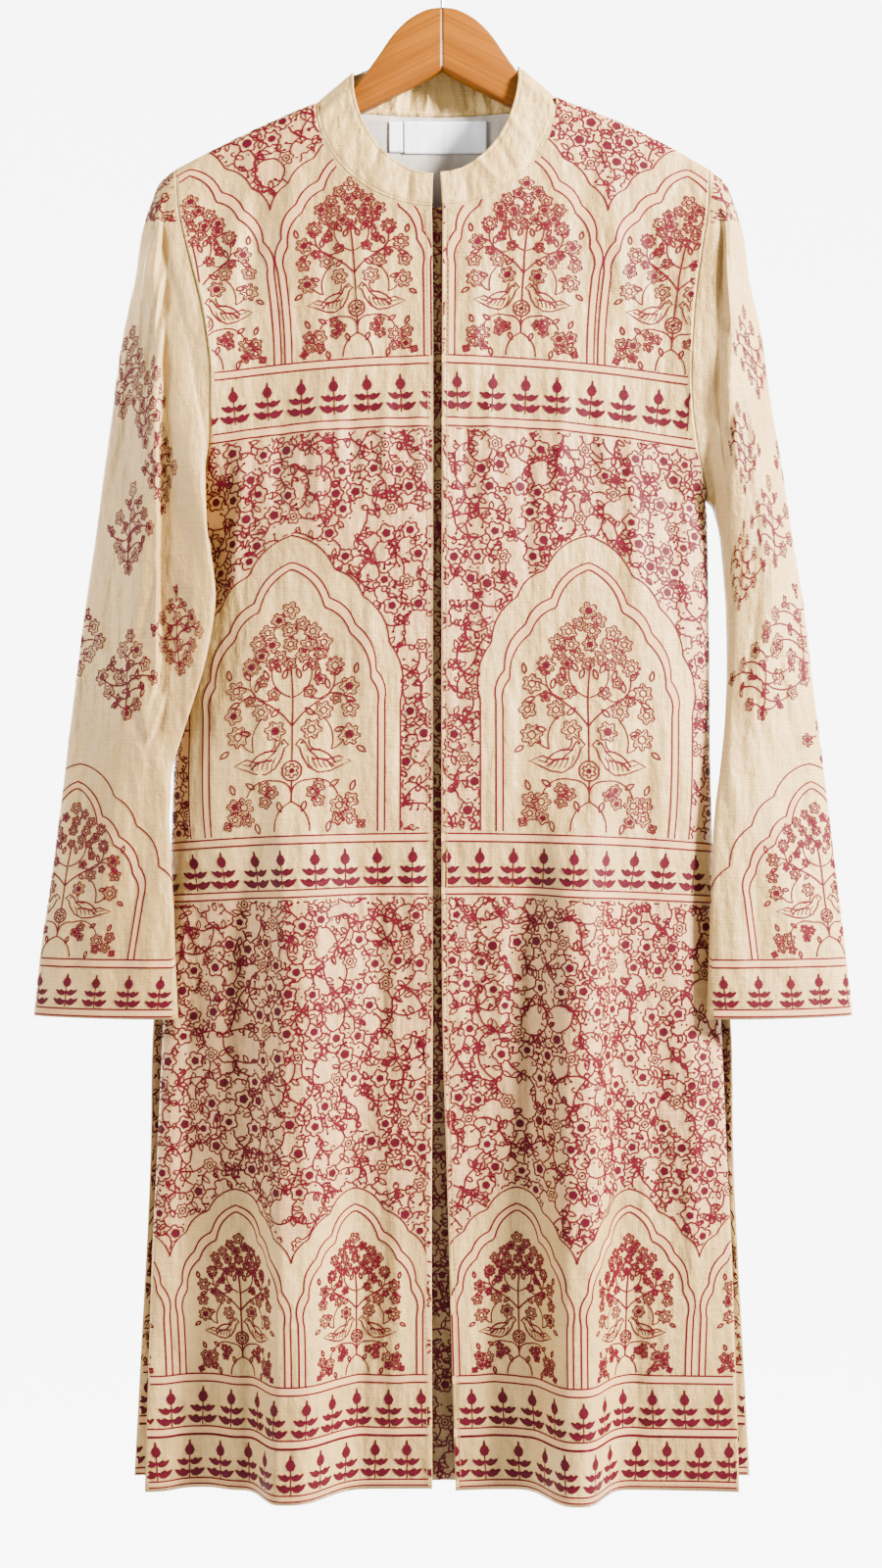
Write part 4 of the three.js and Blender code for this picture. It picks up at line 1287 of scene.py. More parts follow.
@dataclass
class FlowerField:
    """The all-over trellis of vines with round dark-eyed flowers, buds and tendrils."""

    pitch: float = 19.5
    flower: float = 7.1
    eye: float = 3.5
    thread: float = 1.05

    def node(self, pen: Pen, x: float, y: float, kind: int, rng: np.random.Generator) -> None:
        """Draw what sits at one crossing of the trellis.

        Args:
            pen: what draws it.
            x: place across.
            y: height.
            kind: which of the flowers, sprays and buds.
            rng: where its small differences come from.
        """
        turn = rng.uniform(0, 2 * np.pi)
        if kind in (0, 1, 2):
            pen.blot(rosette(x, y, self.eye * rng.uniform(0.85, 1.15), 5, 0.2, turn, 10))
            size = self.flower * rng.uniform(0.88, 1.1)
            pen.stroke(rosette(x, y, size, 5 + kind % 2, 0.34, turn), closed=True)
            for k in range(3):
                a = turn + 0.8 + k * 2.1 + rng.uniform(-0.4, 0.4)
                dot = (x + (size + 2.0) * math.cos(a), y + (size + 2.0) * math.sin(a))
                pen.blot(rosette(*dot, 0.95, 3, 0.1, a, 5))
        elif kind == 3:
            pen.stroke(rosette(x, y, self.flower * 0.85, 6, 0.36, turn, 22), closed=True, width=self.thread)
            pen.stroke(rosette(x, y, self.flower * 0.4, 4, 0.1, turn, 9), closed=True, width=self.thread)
            pen.blot(rosette(x, y, 1.2, 3, 0.1, turn, 5))
        elif kind == 4:
            for k in range(3):
                a = turn + (k - 1) * rng.uniform(0.75, 1.0)
                pen.stroke(leaf(x, y, a, rng.uniform(7.0, 9.0), 3.8), closed=True, width=self.thread)
            pen.stroke(curl(x, y, turn + math.pi, 6.0, rng.choice((-1, 1))), width=self.thread)
        else:
            for k in range(2):
                a = turn + k * 2.4
                pen.stroke(curl(x, y, a, rng.uniform(6.0, 8.0), 1 - 2 * k), width=self.thread)
            a = turn - 1.9
            pen.stroke(leaf(x, y, a, rng.uniform(6.0, 8.0), 3.4), closed=True, width=self.thread)

    def vine(
        self, pen: Pen, a: Array, b: Array, gap_a: float, gap_b: float, rng: np.random.Generator
    ) -> None:
        """Draw the vine between two crossings, with what grows on it.

        Args:
            pen: what draws it.
            a: one crossing.
            b: the other crossing.
            gap_a: space left at the first.
            gap_b: space left at the second.
            rng: where its small differences come from.
        """
        way = unit(b - a)
        start, end = a + way * gap_a, b - way * gap_b
        bulge = rng.uniform(0.08, 0.24) * rng.choice((-1, 1))
        path = bow(tuple(start), tuple(end), bulge, 7)
        path[1:-1] += rng.uniform(-0.5, 0.5, (5, 2))
        pen.stroke(path)
        middle = path[3]
        heading = math.atan2(way[1], way[0])
        for _ in range(3):
            side = rng.choice((-1, 1))
            out = heading + side * rng.uniform(0.8, 1.9)
            choice = rng.integers(0, 4)
            if choice == 0:
                pen.stroke(curl(middle[0], middle[1], out, rng.uniform(5.0, 7.5), side), width=self.thread)
            elif choice == 1:
                pen.stroke(leaf(middle[0], middle[1], out, rng.uniform(6.0, 8.0), 3.4), closed=True,
                           width=self.thread)
            elif choice == 2:
                tip = middle + 5.0 * np.array([math.cos(out), math.sin(out)])
                pen.stroke(np.array([middle, tip]), width=self.thread)
                pen.blot(rosette(tip[0], tip[1], 1.2, 3, 0.1, out, 6))
            middle = path[rng.integers(2, 5)]

    def draw(self, pen: Pen, left: float, right: float, low: float, high: float, seed: int) -> None:
        """Fill a rectangle of the cloth, as far as the pen's region lets it.

        Args:
            pen: what draws it.
            left: its left side.
            right: its right side.
            low: its lower side.
            high: its upper side.
            seed: which of the endless trellises this is.
        """
        rng = np.random.default_rng(seed)
        rise = self.pitch * 0.9
        rows = int((high - low) / rise) + 2
        columns = int((right - left) / self.pitch) + 2
        places = np.empty((rows, columns, 2))
        kinds = np.empty((rows, columns), int)
        for i in range(rows):
            for j in range(columns):
                offset = self.pitch / 2 * (i % 2)
                jitter = rng.uniform(-3.4, 3.4, 2)
                places[i, j] = (left + j * self.pitch + offset + jitter[0], high - i * rise + jitter[1])
                kinds[i, j] = (0, 5, 1, 4, 3, 2, 5, 1)[(3 * i + 2 * j + rng.integers(0, 2)) % 8]
        gaps = np.array([6.6, 6.6, 6.6, 5.6, 0.5, 0.5])
        for i in range(rows):
            for j in range(columns):
                self.node(pen, *places[i, j], kinds[i, j], rng)
                near = [(i, j + 1), (i + 1, j - 1 + i % 2), (i + 1, j + i % 2)]
                for p, q in near:
                    if 0 <= p < rows and 0 <= q < columns and rng.random() < 0.78:
                        self.vine(pen, places[i, j], places[p, q], gaps[kinds[i, j]], gaps[kinds[p, q]], rng)


class Place(NamedTuple):
    """Where a flower sits on the tree, in shares of its width and height, and its size and petals."""

    x: float
    y: float
    radius: float
    petals: int


@dataclass
class FloweringTree:
    """A slender flowering tree with a pair of birds, as under every arch."""

    crown: tuple[Place, ...] = table(
        Place,
        (0, 0.955, 0.04, 5), (0.08, 0.915, 0.034, 5), (-0.07, 0.895, 0.032, 5), (0.02, 0.87, 0.036, 6),
        (-0.15, 0.86, 0.038, 6), (0.16, 0.865, 0.036, 5), (-0.23, 0.81, 0.038, 5), (0.25, 0.82, 0.038, 6),
        (-0.12, 0.805, 0.036, 5), (0.13, 0.81, 0.036, 5), (0, 0.81, 0.034, 6), (-0.2, 0.765, 0.032, 6),
        (0.22, 0.765, 0.034, 5), (-0.08, 0.76, 0.034, 5), (0.08, 0.755, 0.034, 5), (0, 0.725, 0.03, 5),
        (0.15, 0.725, 0.028, 5), (-0.15, 0.72, 0.028, 5),
    )
    boughs: tuple[Place, ...] = table(
        Place,
        (0.3, 0.715, 0.042, 9), (0.4, 0.62, 0.044, 6), (0.42, 0.52, 0.04, 5), (0.22, 0.525, 0.042, 6),
        (0.13, 0.44, 0.046, 6), (0.4, 0.415, 0.05, 7), (0.12, 0.6, 0.03, 5), (0.2, 0.655, 0.028, 5),
        (0.3, 0.57, 0.026, 5),
    )
    drooping: tuple[Place, ...] = table(
        Place,
        (0.14, 0.165, 0.03, 5), (0.2, 0.185, 0.03, 5), (0.2, 0.13, 0.03, 5), (0.34, 0.115, 0.044, 6),
        (0.43, 0.125, 0.036, 5), (0.42, 0.065, 0.036, 5), (0.33, 0.05, 0.03, 5), (0.48, 0.03, 0.022, 4),
    )
    leaves: tuple[tuple[float, float, float], ...] = (
        (0.3, 0.665, 0.9), (0.17, 0.66, 1.2), (0.06, 0.66, 1.9), (0.3, 0.43, 0.2), (0.46, 0.36, -0.6),
        (0.27, 0.19, 0.6), (0.27, 0.04, -1.8), (0.15, 0.5, 2.4), (0.45, 0.67, 1.4), (0.08, 0.69, 1.0),
        (0.26, 0.61, 1.8), (0.38, 0.57, -0.4), (0.1, 0.13, -1.9), (0.42, 0.17, 1.2),
    )

    outline: float = 1.1
    dark_eyes: float = 0.3

    def bloom(
        self, pen: Pen, x: float, y: float, radius: float, petals: int, rng: np.random.Generator
    ) -> None:
        """Draw one flower with its petals, eye and veins.

        Args:
            pen: what draws it.
            x: its place across.
            y: its height.
            radius: out to its petals' tips.
            petals: how many it has.
            rng: where its small differences come from.
        """
        turn = rng.uniform(0, 6.28)
        pen.stroke(rosette(x, y, radius, petals, 0.46, turn, 4 * petals), closed=True, width=self.outline)
        pen.stroke(rosette(x, y, radius * 0.38, 4, 0.15, turn, 8), closed=True, width=self.outline)
        if rng.random() < self.dark_eyes:
            pen.blot(rosette(x, y, radius * 0.3, 3, 0.1, turn, 6))
        for k in range(petals):
            a = turn + 6.28 * (k + 0.5) / petals
            reach = rng.uniform(0.7, 0.85) * radius
            pen.stroke(np.array([(x + 0.45 * radius * math.cos(a), y + 0.45 * radius * math.sin(a)),
                                 (x + reach * math.cos(a), y + reach * math.sin(a))]), width=0.75)

    def draw(self, pen: Pen, x: float, base: float, width: float, height: float, seed: int) -> None:
        """Draw one tree.

        Args:
            pen: what draws it.
            x: its trunk's place across.
            base: height of its foot.
            width: across its widest flowers.
            height: from foot to top.
            seed: where its small differences come from.
        """
        rng = np.random.default_rng(seed)

        def at(u: float, v: float) -> tuple[float, float]:
            """A place on the tree."""
            return x + u * width, base + v * height

        pen.stroke(bow(at(0, 0.218), at(0, 0.13), 0.0, 3), width=1.2)
        pen.stroke(bow(at(0, 0.305), at(0, 0.46), 0.0, 6), width=1.2)
        pen.stroke(bow(at(0, 0.46), at(0.01, 0.72), 0.02, 9))
        medal = at(0, 0.262)
        pen.stroke(rosette(*medal, 0.044 * height, 8, 0.06, 0, 20), closed=True)
        pen.stroke(rosette(*medal, 0.032 * height, 6, 0.4, 0, 18), closed=True)
        pen.blot(rosette(*medal, 0.013 * height, 4, 0.1, 0, 7))
        for place in self.crown:
            px, py = at(place.x + rng.uniform(-0.012, 0.012), place.y)
            self.bloom(pen, px, py, place.radius * height, place.petals, rng)
        for side in (-1, 1):
            for start, end, bulge, thick in (
                ((0, 0.13), (0.13, 0.0), 0.16, 1.1), ((0, 0.14), (0.12, 0.222), 0.26, 1.1),
                ((0.12, 0.222), (0.33, 0.155), 0.2, 1.0), ((0, 0.455), (0.24, 0.575), 0.07, 1.2),
                ((0.24, 0.575), (0.3, 0.68), -0.14, 1.0), ((0.2, 0.57), (0.42, 0.53), 0.3, 1.0),
                ((0.25, 0.58), (0.4, 0.64), 0.16, 1.0), ((0.22, 0.49), (0.28, 0.35), 0.14, 1.0),
                ((0.28, 0.35), (0.36, 0.385), -0.1, 1.0), ((0.01, 0.58), (0.14, 0.71), -0.2, 1.0),
                ((0.12, 0.4), (0.2, 0.35), -0.3, 1.0), ((0.13, 0.585), (0.22, 0.575), -0.2, 1.0),
            ):
                a, b = at(side * start[0], start[1]), at(side * end[0], end[1])
                pen.stroke(bow(a, b, bulge * side, 8), width=thick)
            for place in (*self.boughs, *self.drooping):
                px, py = at(side * place.x + rng.uniform(-0.012, 0.012), place.y + rng.uniform(-0.008, 0.008))
                self.bloom(pen, px, py, place.radius * height, place.petals, rng)
            for u, v, a in self.leaves:
                heading = a if side > 0 else math.pi - a
                pen.stroke(leaf(*at(side * u, v), heading, 0.048 * height, 0.02 * height), closed=True)
            self.bird(pen, at, side, height)

    def bird(
        self, pen: Pen, at: Callable[[float, float], tuple[float, float]], side: float, height: float
    ) -> None:
        """Draw one of the birds that face each other over the trunk.

        Args:
            pen: what draws it.
            at: what turns places on the tree into places on the cloth.
            side: -1 for the left bird and 1 for the right.
            height: the tree's height.
        """
        outline = np.array([at(side * u, v) for u, v in (
            (0.025, 0.375), (0.06, 0.4), (0.09, 0.385), (0.125, 0.345), (0.19, 0.31),
            (0.26, 0.305), (0.33, 0.32), (0.42, 0.295), (0.34, 0.275), (0.27, 0.256),
            (0.19, 0.25), (0.12, 0.275), (0.075, 0.32), (0.055, 0.36))])
        pen.stroke(outline, closed=True, width=1.15)
        pen.stroke(bow(at(side * 0.11, 0.35), at(side * 0.31, 0.29), 0.16 * side, 7))
        pen.stroke(bow(at(side * 0.14, 0.31), at(side * 0.3, 0.275), 0.12 * side, 6))
        for u in (0.11, 0.145, 0.18, 0.215, 0.25):
            top, foot = at(side * u, 0.325 - 0.12 * (u - 0.11)), at(side * (u + 0.035), 0.27)
            pen.stroke(bow(top, foot, 0.1, 4), width=0.75)
        pen.stroke(np.array([at(side * 0.36, 0.302), at(side * 0.29, 0.29)]), width=0.75)
        pen.blot(rosette(*at(side * 0.07, 0.382), 0.007 * height, 3, 0.1, 0, 5))


@dataclass
class Posy:
    """The lozenge of small flowers that is scattered over the sleeves."""

    width: float = 74.0
    height: float = 70.0
    rows: tuple[tuple[float, tuple[float, ...]], ...] = (
        (0.43, (0.0,)), (0.29, (-0.12, 0.13)), (0.14, (-0.27, 0.02, 0.27)), (-0.01, (-0.4, -0.14, 0.14, 0.4)),
        (-0.16, (-0.26, 0.0, 0.26)), (-0.3, (-0.13, 0.13)), (-0.43, (0.01,)),
    )

    def draw(self, pen: Pen, x: float, y: float, seed: int) -> None:
        """Draw one posy round x, y.

        Args:
            pen: what draws it.
            x: its middle's place across.
            y: its middle's height.
            seed: where its small differences come from.
        """
        rng = np.random.default_rng(seed)
        tree = FloweringTree()
        pen.stroke(bow((x, y - 0.5 * self.height), (x, y + 0.12 * self.height), 0.03, 10))
        for v, row in self.rows:
            for u in row:
                px = x + u * self.width + rng.uniform(-1.2, 1.2)
                py = y + v * self.height + rng.uniform(-1.2, 1.2)
                if rng.random() < 0.72:
                    tree.bloom(pen, px, py, rng.uniform(5.4, 7.2), int(rng.integers(5, 7)), rng)
                else:
                    for k in range(4):
                        a = rng.uniform(0, 6.28)
                        pen.stroke(leaf(px, py, a, rng.uniform(5.5, 8.0), 3.0), closed=True)
                if abs(u) > 0.05:
                    pen.stroke(bow((x, py - 5.0), (px, py), 0.15, 6))
                if rng.random() < 0.5:
                    pen.stroke(curl(px, py + 3.5, rng.uniform(0, 6.28), 4.0, rng.choice((-1, 1)), 6))


@dataclass
class Arch:
    """A pointed arch with scalloped shoulders: a double line and one line round it.

    The shoulders' cusps are given from the apex down, as distances out and down from it.
    """

    half: float
    inner: float
    rise: float
    cusps: tuple[tuple[float, float], ...]
    outer_rise: float
    outer_cusps: tuple[tuple[float, float], ...]
    outer_leg: float | None = None
    bulge: float = 0.13
    ground_steps: int = 150
    outer_width: float = 1.15

    def line(
        self, x: float, foot: float, top: float, cusps: Sequence[tuple[float, float]], leg: float | None
    ) -> Array:
        """One outline of the arch, from its left foot over the apex to its right foot.

        Args:
            x: its middle.
            foot: height of its feet.
            top: its apex over the feet.
            cusps: the shoulders' cusps.
            leg: how far out its legs stand, or None where it ends at its last cusp.

        Returns:
            The outline's points.
        """
        corners = [(0.0, foot + top)] + [(dx, foot + top - dy) for dx, dy in cusps]
        half = [np.array([corners[0]])]
        for a, b in zip(corners, corners[1:]):
            half.append(bow(a, b, self.bulge, 8)[1:])
        if leg is not None:
            half.append(np.array([(leg, foot)]))
        right = np.concatenate(half)
        left = right[::-1] * np.array([-1, 1])
        return np.concatenate([left[:-1], right]) + np.array([x, 0.0])

    def draw(self, pen: Pen, x: float, foot: float) -> None:
        """Draw the arch's three lines and the pale ground between the two inner ones.

        Args:
            pen: what draws it.
            x: its middle's place across.
            foot: height of its feet.
        """
        thin = self.half - self.inner
        outer = self.line(x, foot, self.rise, (*self.cusps, (self.half, self.cusps[-1][1] + 24)), self.half)
        inside = tuple((dx - thin * 0.75, dy + 0.3 * thin) for dx, dy in self.cusps)
        cusps = (*inside, (self.inner, self.cusps[-1][1] + 22))
        inner = self.line(x, foot, self.rise - thin, cusps, self.inner)
        pen.stroke(outer, even=True)
        pen.stroke(inner, even=True)
        pen.strip(resample(outer, self.ground_steps), resample(inner, self.ground_steps))
        pen.stroke(self.outline(x, foot), even=True, width=self.outer_width)

    def outline(self, x: float, foot: float) -> Array:
        """The outermost line."""
        return self.line(x, foot, self.outer_rise, self.outer_cusps, self.outer_leg)


# ---- The print: layout on the pieces ----


class Cloth(Protocol):
    """A piece that print can be laid on."""

    def place(self, s: Array, h: Array, lift: float) -> tuple[Array, Array]:
        """Points for places on the cloth, and which of them are on it."""


CHEST_ARCH = Arch(57.0, 51.6, 165.0, ((23.0, 23.0), (39.0, 40.0), (51.5, 67.0)), 183.0,
                  ((26.0, 22.0), (45.0, 41.0), (58.5, 61.0)))
GREAT_ARCH = Arch(72.3, 67.0, 212.0, ((29.7, 30.0), (49.4, 51.0), (65.7, 87.0)), 233.0,
                  ((34.0, 29.0), (56.0, 51.0), (76.0, 87.0), (84.5, 132.0)), outer_leg=84.5)
HEM_ARCH = Arch(53.0, 48.2, 135.0, ((21.5, 22.0), (36.0, 37.0), (47.5, 62.0)), 148.0,
                ((23.0, 18.0), (42.0, 35.0), (56.0, 53.0)))


@dataclass
class Border:
    """A row of sprigs between two pairs of lines."""

    lines: tuple[float, float, float, float]
    foot: float
    pitch: float

    def draw(self, pen: Pen, left: float, right: float, first: float, sprig: Sprig, seed: int) -> None:
        """Draw the border.

        Args:
            pen: what draws it.
            left: where its lines start.
            right: where they end.
            first: place of one of its sprigs.
            sprig: the motif it repeats.
            seed: where its small differences come from.
        """
        rng = np.random.default_rng(seed)
        s = np.arange(left, right, pen.step)
        for upper, lower in (self.lines[:2], self.lines[2:]):
            wave = 0.25 * np.sin(s / 31.0 + upper)
            top, bottom = np.stack([s, upper + wave], axis=1), np.stack([s, lower + wave], axis=1)
            pen.strip(top, bottom)
            pen.stroke(top)
            pen.stroke(bottom)
        count = int((right - left) / self.pitch) + 2
        start = first - self.pitch * math.ceil((first - left) / self.pitch)
        for k in range(count):
            x = start + k * self.pitch + rng.uniform(-0.9, 0.9)
            if x < right:
                sprig.draw(pen, x, self.foot + rng.uniform(-0.6, 0.6), rng.uniform(-0.04, 0.04))


@dataclass
class PrintPlan:
    """Where the print's arches and borders stand on a panel, across it and by height."""

    chest: tuple[float, ...]
    great: tuple[float, ...]
    low: tuple[float, ...]
    sprigs: tuple[float, float, float]
    left: float
    right: float
    seed: int
    trellis: float = 19.5
    sewn: tuple[tuple[tuple[float, float], ...], ...] = (
        ((4.2, -1222.0), (4.2, -150.0)), ((0.0, -1220.8), (280.0, -1220.8)))
    droops: tuple[tuple[float, float], ...] = ((-1130.0, 0.0), (-710.0, 7.5), (-345.0, 17.0), (-130.0, 18.0))
    outlines: list[tuple[int, Array]] = field(init=False, repr=False)
    droop_reach: float = 200.0
    fan_share: float = 0.085
    fan_run: float = 130.0
    chest_foot: float = -343.0
    great_foot: float = -711.0
    low_foot: float = -1136.0
    chest_clear: float = 2.0
    arch_clear: float = 0.8
    middle_top: float = -399.0
    lower_top: float = -762.0
    borders: tuple[Border, ...] = (
        Border((-343.0, -349.0, -391.0, -397.5), -386.0, 25.9),
        Border((-713.0, -719.0, -754.5, -760.0), -753.5, 25.5),
        Border((-1136.0, -1142.0, -1177.0, -1183.0), -1176.5, 25.0),
        Border((-1183.0, -1183.6, -1218.5, -1223.0), -1217.5, 25.0),
    )

    def __post_init__(self) -> None:
        """Work out the arches' outermost lines once."""
        rows = ((CHEST_ARCH, self.chest, self.chest_foot), (GREAT_ARCH, self.great, self.great_foot),
                (HEM_ARCH, self.low, self.low_foot))
        self.outlines = [
            (n, arch.outline(x, foot)) for n, (arch, centres, foot) in enumerate(rows) for x in centres]

    def droop(self, s: Array, h: Array) -> Array:
        """How far the print hangs down at a place, lowest at the sides."""
        heights, drops = zip(*self.droops)
        return np.interp(h, heights, drops) * (s / self.droop_reach) ** 2

    def fan(self, s: Array, h: Array) -> Array:
        """How far the print spreads outwards at a place, most at the shoulders."""
        return s * self.fan_share * ease((h - self.chest_foot) / self.fan_run)

    def flowered(self, p: Array) -> Array:
        """Which points lie in the all-over flowers and not under an arch or in a border.

        Args:
            p: places on the cloth.

        Returns:
            True where they lie in the flowers.
        """
        s, h = p[..., 0], p[..., 1]
        upper = h > self.chest_foot + self.chest_clear
        middle = (h < self.middle_top) & (h > self.great_foot)
        lower = (h < self.lower_top) & (h > self.low_foot)
        parts = (upper, middle, lower)
        for row, line in self.outlines:
            part = parts[row]
            part &= h > np.interp(s, *line.T, left=-1e6, right=-1e6) + self.arch_clear
        return upper | middle | lower

    def draw(self, pen: Pen) -> None:
        """Draw the whole panel's print.

        Args:
            pen: what draws it.
        """
        sprig = Sprig()
        tree = FloweringTree()
        firsts = (self.sprigs[0], self.sprigs[1], self.sprigs[2], self.sprigs[2] + 11.0)
        for k, (border, first) in enumerate(zip(self.borders, firsts)):
            border.draw(pen, self.left, self.right, first, sprig, self.seed + k)
        rows = (
            (CHEST_ARCH, self.chest, self.chest_foot, 89.0, 143.0),
            (GREAT_ARCH, self.great, self.great_foot, 110.0, 181.0),
            (HEM_ARCH, self.low, self.low_foot, 76.0, 112.0),
        )
        for n, (arch, centres, foot, width, height) in enumerate(rows):
            for k, x in enumerate(centres):
                arch.draw(pen, x, foot)
                tree.draw(pen, x, foot + 1.5, width, height, self.seed + 10 * n + k)
        for row in self.sewn:
            pen.stitches(np.array(row))
        pen.region = self.flowered
        top = self.droops[-1][0]
        FlowerField(pitch=self.trellis).draw(pen, self.left, self.right, self.low_foot, top, self.seed + 50)
        pen.region = None


@dataclass
class PrintedLayer:
    """Lays what a pen has drawn on a piece of cloth, as faces a hair's breadth off it."""

    name: str
    cloth: Cloth
    lifts: tuple[tuple[Ink, float], ...] = (
        (Ink.GROUND, 0.22), (Ink.LINE, 0.34), (Ink.BUD, 0.38), (Ink.THREAD, 0.46))
    beyond: float = 0.0

    def build(self, pen: Pen, finishes: dict[Ink, bpy.types.Material],
              plan: PrintPlan | None = None) -> bpy.types.Object:
        """Make the layer's object.

        Args:
            pen: what has drawn the shapes.
            finishes: what each ink looks like.
            plan: what says how the print hangs, if the cloth's own places don't.

        Returns:
            The new object.
        """
        points, faces, slots = [], [], []
        start = 0
        for slot, (ink, lift) in enumerate(self.lifts):
            if ink not in pen.shapes:
                continue
            flat = np.concatenate(pen.shapes[ink][0])
            quads = np.concatenate(pen.shapes[ink][1])
            s, h = flat[:, 0], flat[:, 1]
            if plan:
                s, h = s + plan.fan(s, h), h - plan.droop(s, h)
            placed, ok = self.cloth.place(s, h, lift)
            ok &= np.abs(s) >= self.beyond
            quads = quads[np.all(ok[quads], axis=1)]
            used = np.unique(quads)
            number = np.full(len(flat), -1)
            number[used] = np.arange(len(used)) + start
            points.append(placed[used])
            faces += [list(dict.fromkeys(f)) for f in number[quads].tolist()]
            slots += [slot] * len(quads)
            start += len(used)
        piece = add_object(self.name, np.concatenate(points), faces, finishes[self.lifts[0][0]])
        for ink, _ in self.lifts[1:]:
            piece.data.materials.append(finishes[ink])
        piece.data.polygons.foreach_set("material_index", slots)
        return piece


SLEEVE_ARCH = Arch(68.0, 63.0, 139.0, ((26.0, 27.0), (43.0, 43.0), (61.0, 66.0)), 153.0,
                   ((36.0, 26.0), (56.0, 48.0), (77.0, 80.0)))


@dataclass
class SleevePlan:
    """Where the sleeve's arch, its cuff border and its scattered posies stand."""

    posies: tuple[tuple[float, float], ...]
    seed: int
    centres: tuple[float, ...] = (16.0, -138.0)
    foot: float = -812.0
    border: Border = field(default_factory=lambda: Border((-812.0, -818.0, -850.5, -856.0), -850.0, 26.0))
    field_top: float = -180.0
    field_low: float = -232.0
    cap: float = 0.1
    posy_width: float = 74.0
    tail: tuple[tuple[float, float], ...] = ((77.0, 80.0), (98.0, 113.0), (113.0, 153.0))

    def flowered(self, p: Array) -> Array:
        """Which points lie in the flowers at the sleeve's head."""
        low = self.field_low - self.cap * np.maximum(p[..., 0], 0.0)
        return p[..., 1] > low

    def draw(self, pen: Pen) -> None:
        """Draw the whole sleeve's print.

        Args:
            pen: what draws it.
        """
        self.border.draw(pen, -160.0, 160.0, 4.0, Sprig(height=25.0, spread=10.5), self.seed)
        for k, x in enumerate(self.centres):
            SLEEVE_ARCH.draw(pen, x, self.foot)
            FloweringTree().draw(pen, x, self.foot + 1.5, 104.0, 122.0, self.seed + k)
        x, apex = self.centres[0], self.foot + SLEEVE_ARCH.outer_rise
        corners = [(x + out, apex - down) for out, down in self.tail]
        for start, end in zip(corners, corners[1:]):
            pen.stroke(bow(start, end, SLEEVE_ARCH.bulge, 8), even=True, width=SLEEVE_ARCH.outer_width)
        for k, (x, y) in enumerate(self.posies):
            Posy(width=self.posy_width).draw(pen, x, y, self.seed + 20 + k)
        pen.stitches(np.array([(-160.0, self.foot - 46.5), (160.0, self.foot - 46.5)]))
        pen.region = self.flowered
        FlowerField().draw(pen, -150.0, 150.0, -420.0, self.field_top, self.seed + 40)
        pen.region = None


@dataclass
class PlacketPlan:
    """The strip cut across the same cloth, so that its flowers and lines meet nothing."""

    seed: int = 77

    def draw(self, pen: Pen) -> None:
        """Draw the strip's print.

        Args:
            pen: what draws it.
        """
        for h in (-372.0, -378.0, -560.0, -690.0, -696.0, -1052.0, -1058.0, -1120.0):
            wave = np.arange(-28.0, 29.0, 3.0)
            pen.stroke(np.stack([wave, h + 0.3 * np.sin(wave / 7.0)], axis=1))
        FlowerField(pitch=17.0).draw(pen, -34.0, 34.0, -1222.0, -200.0, self.seed)


# ---- Collar, under placket, lining and labels ----


class Dent(NamedTuple):
    """A soft dent or ridge of the collar: its place round the neck, where it is deepest, and its size."""

    around: float
    share: float
    width: float
    reach: float
    height: float
    lean: float


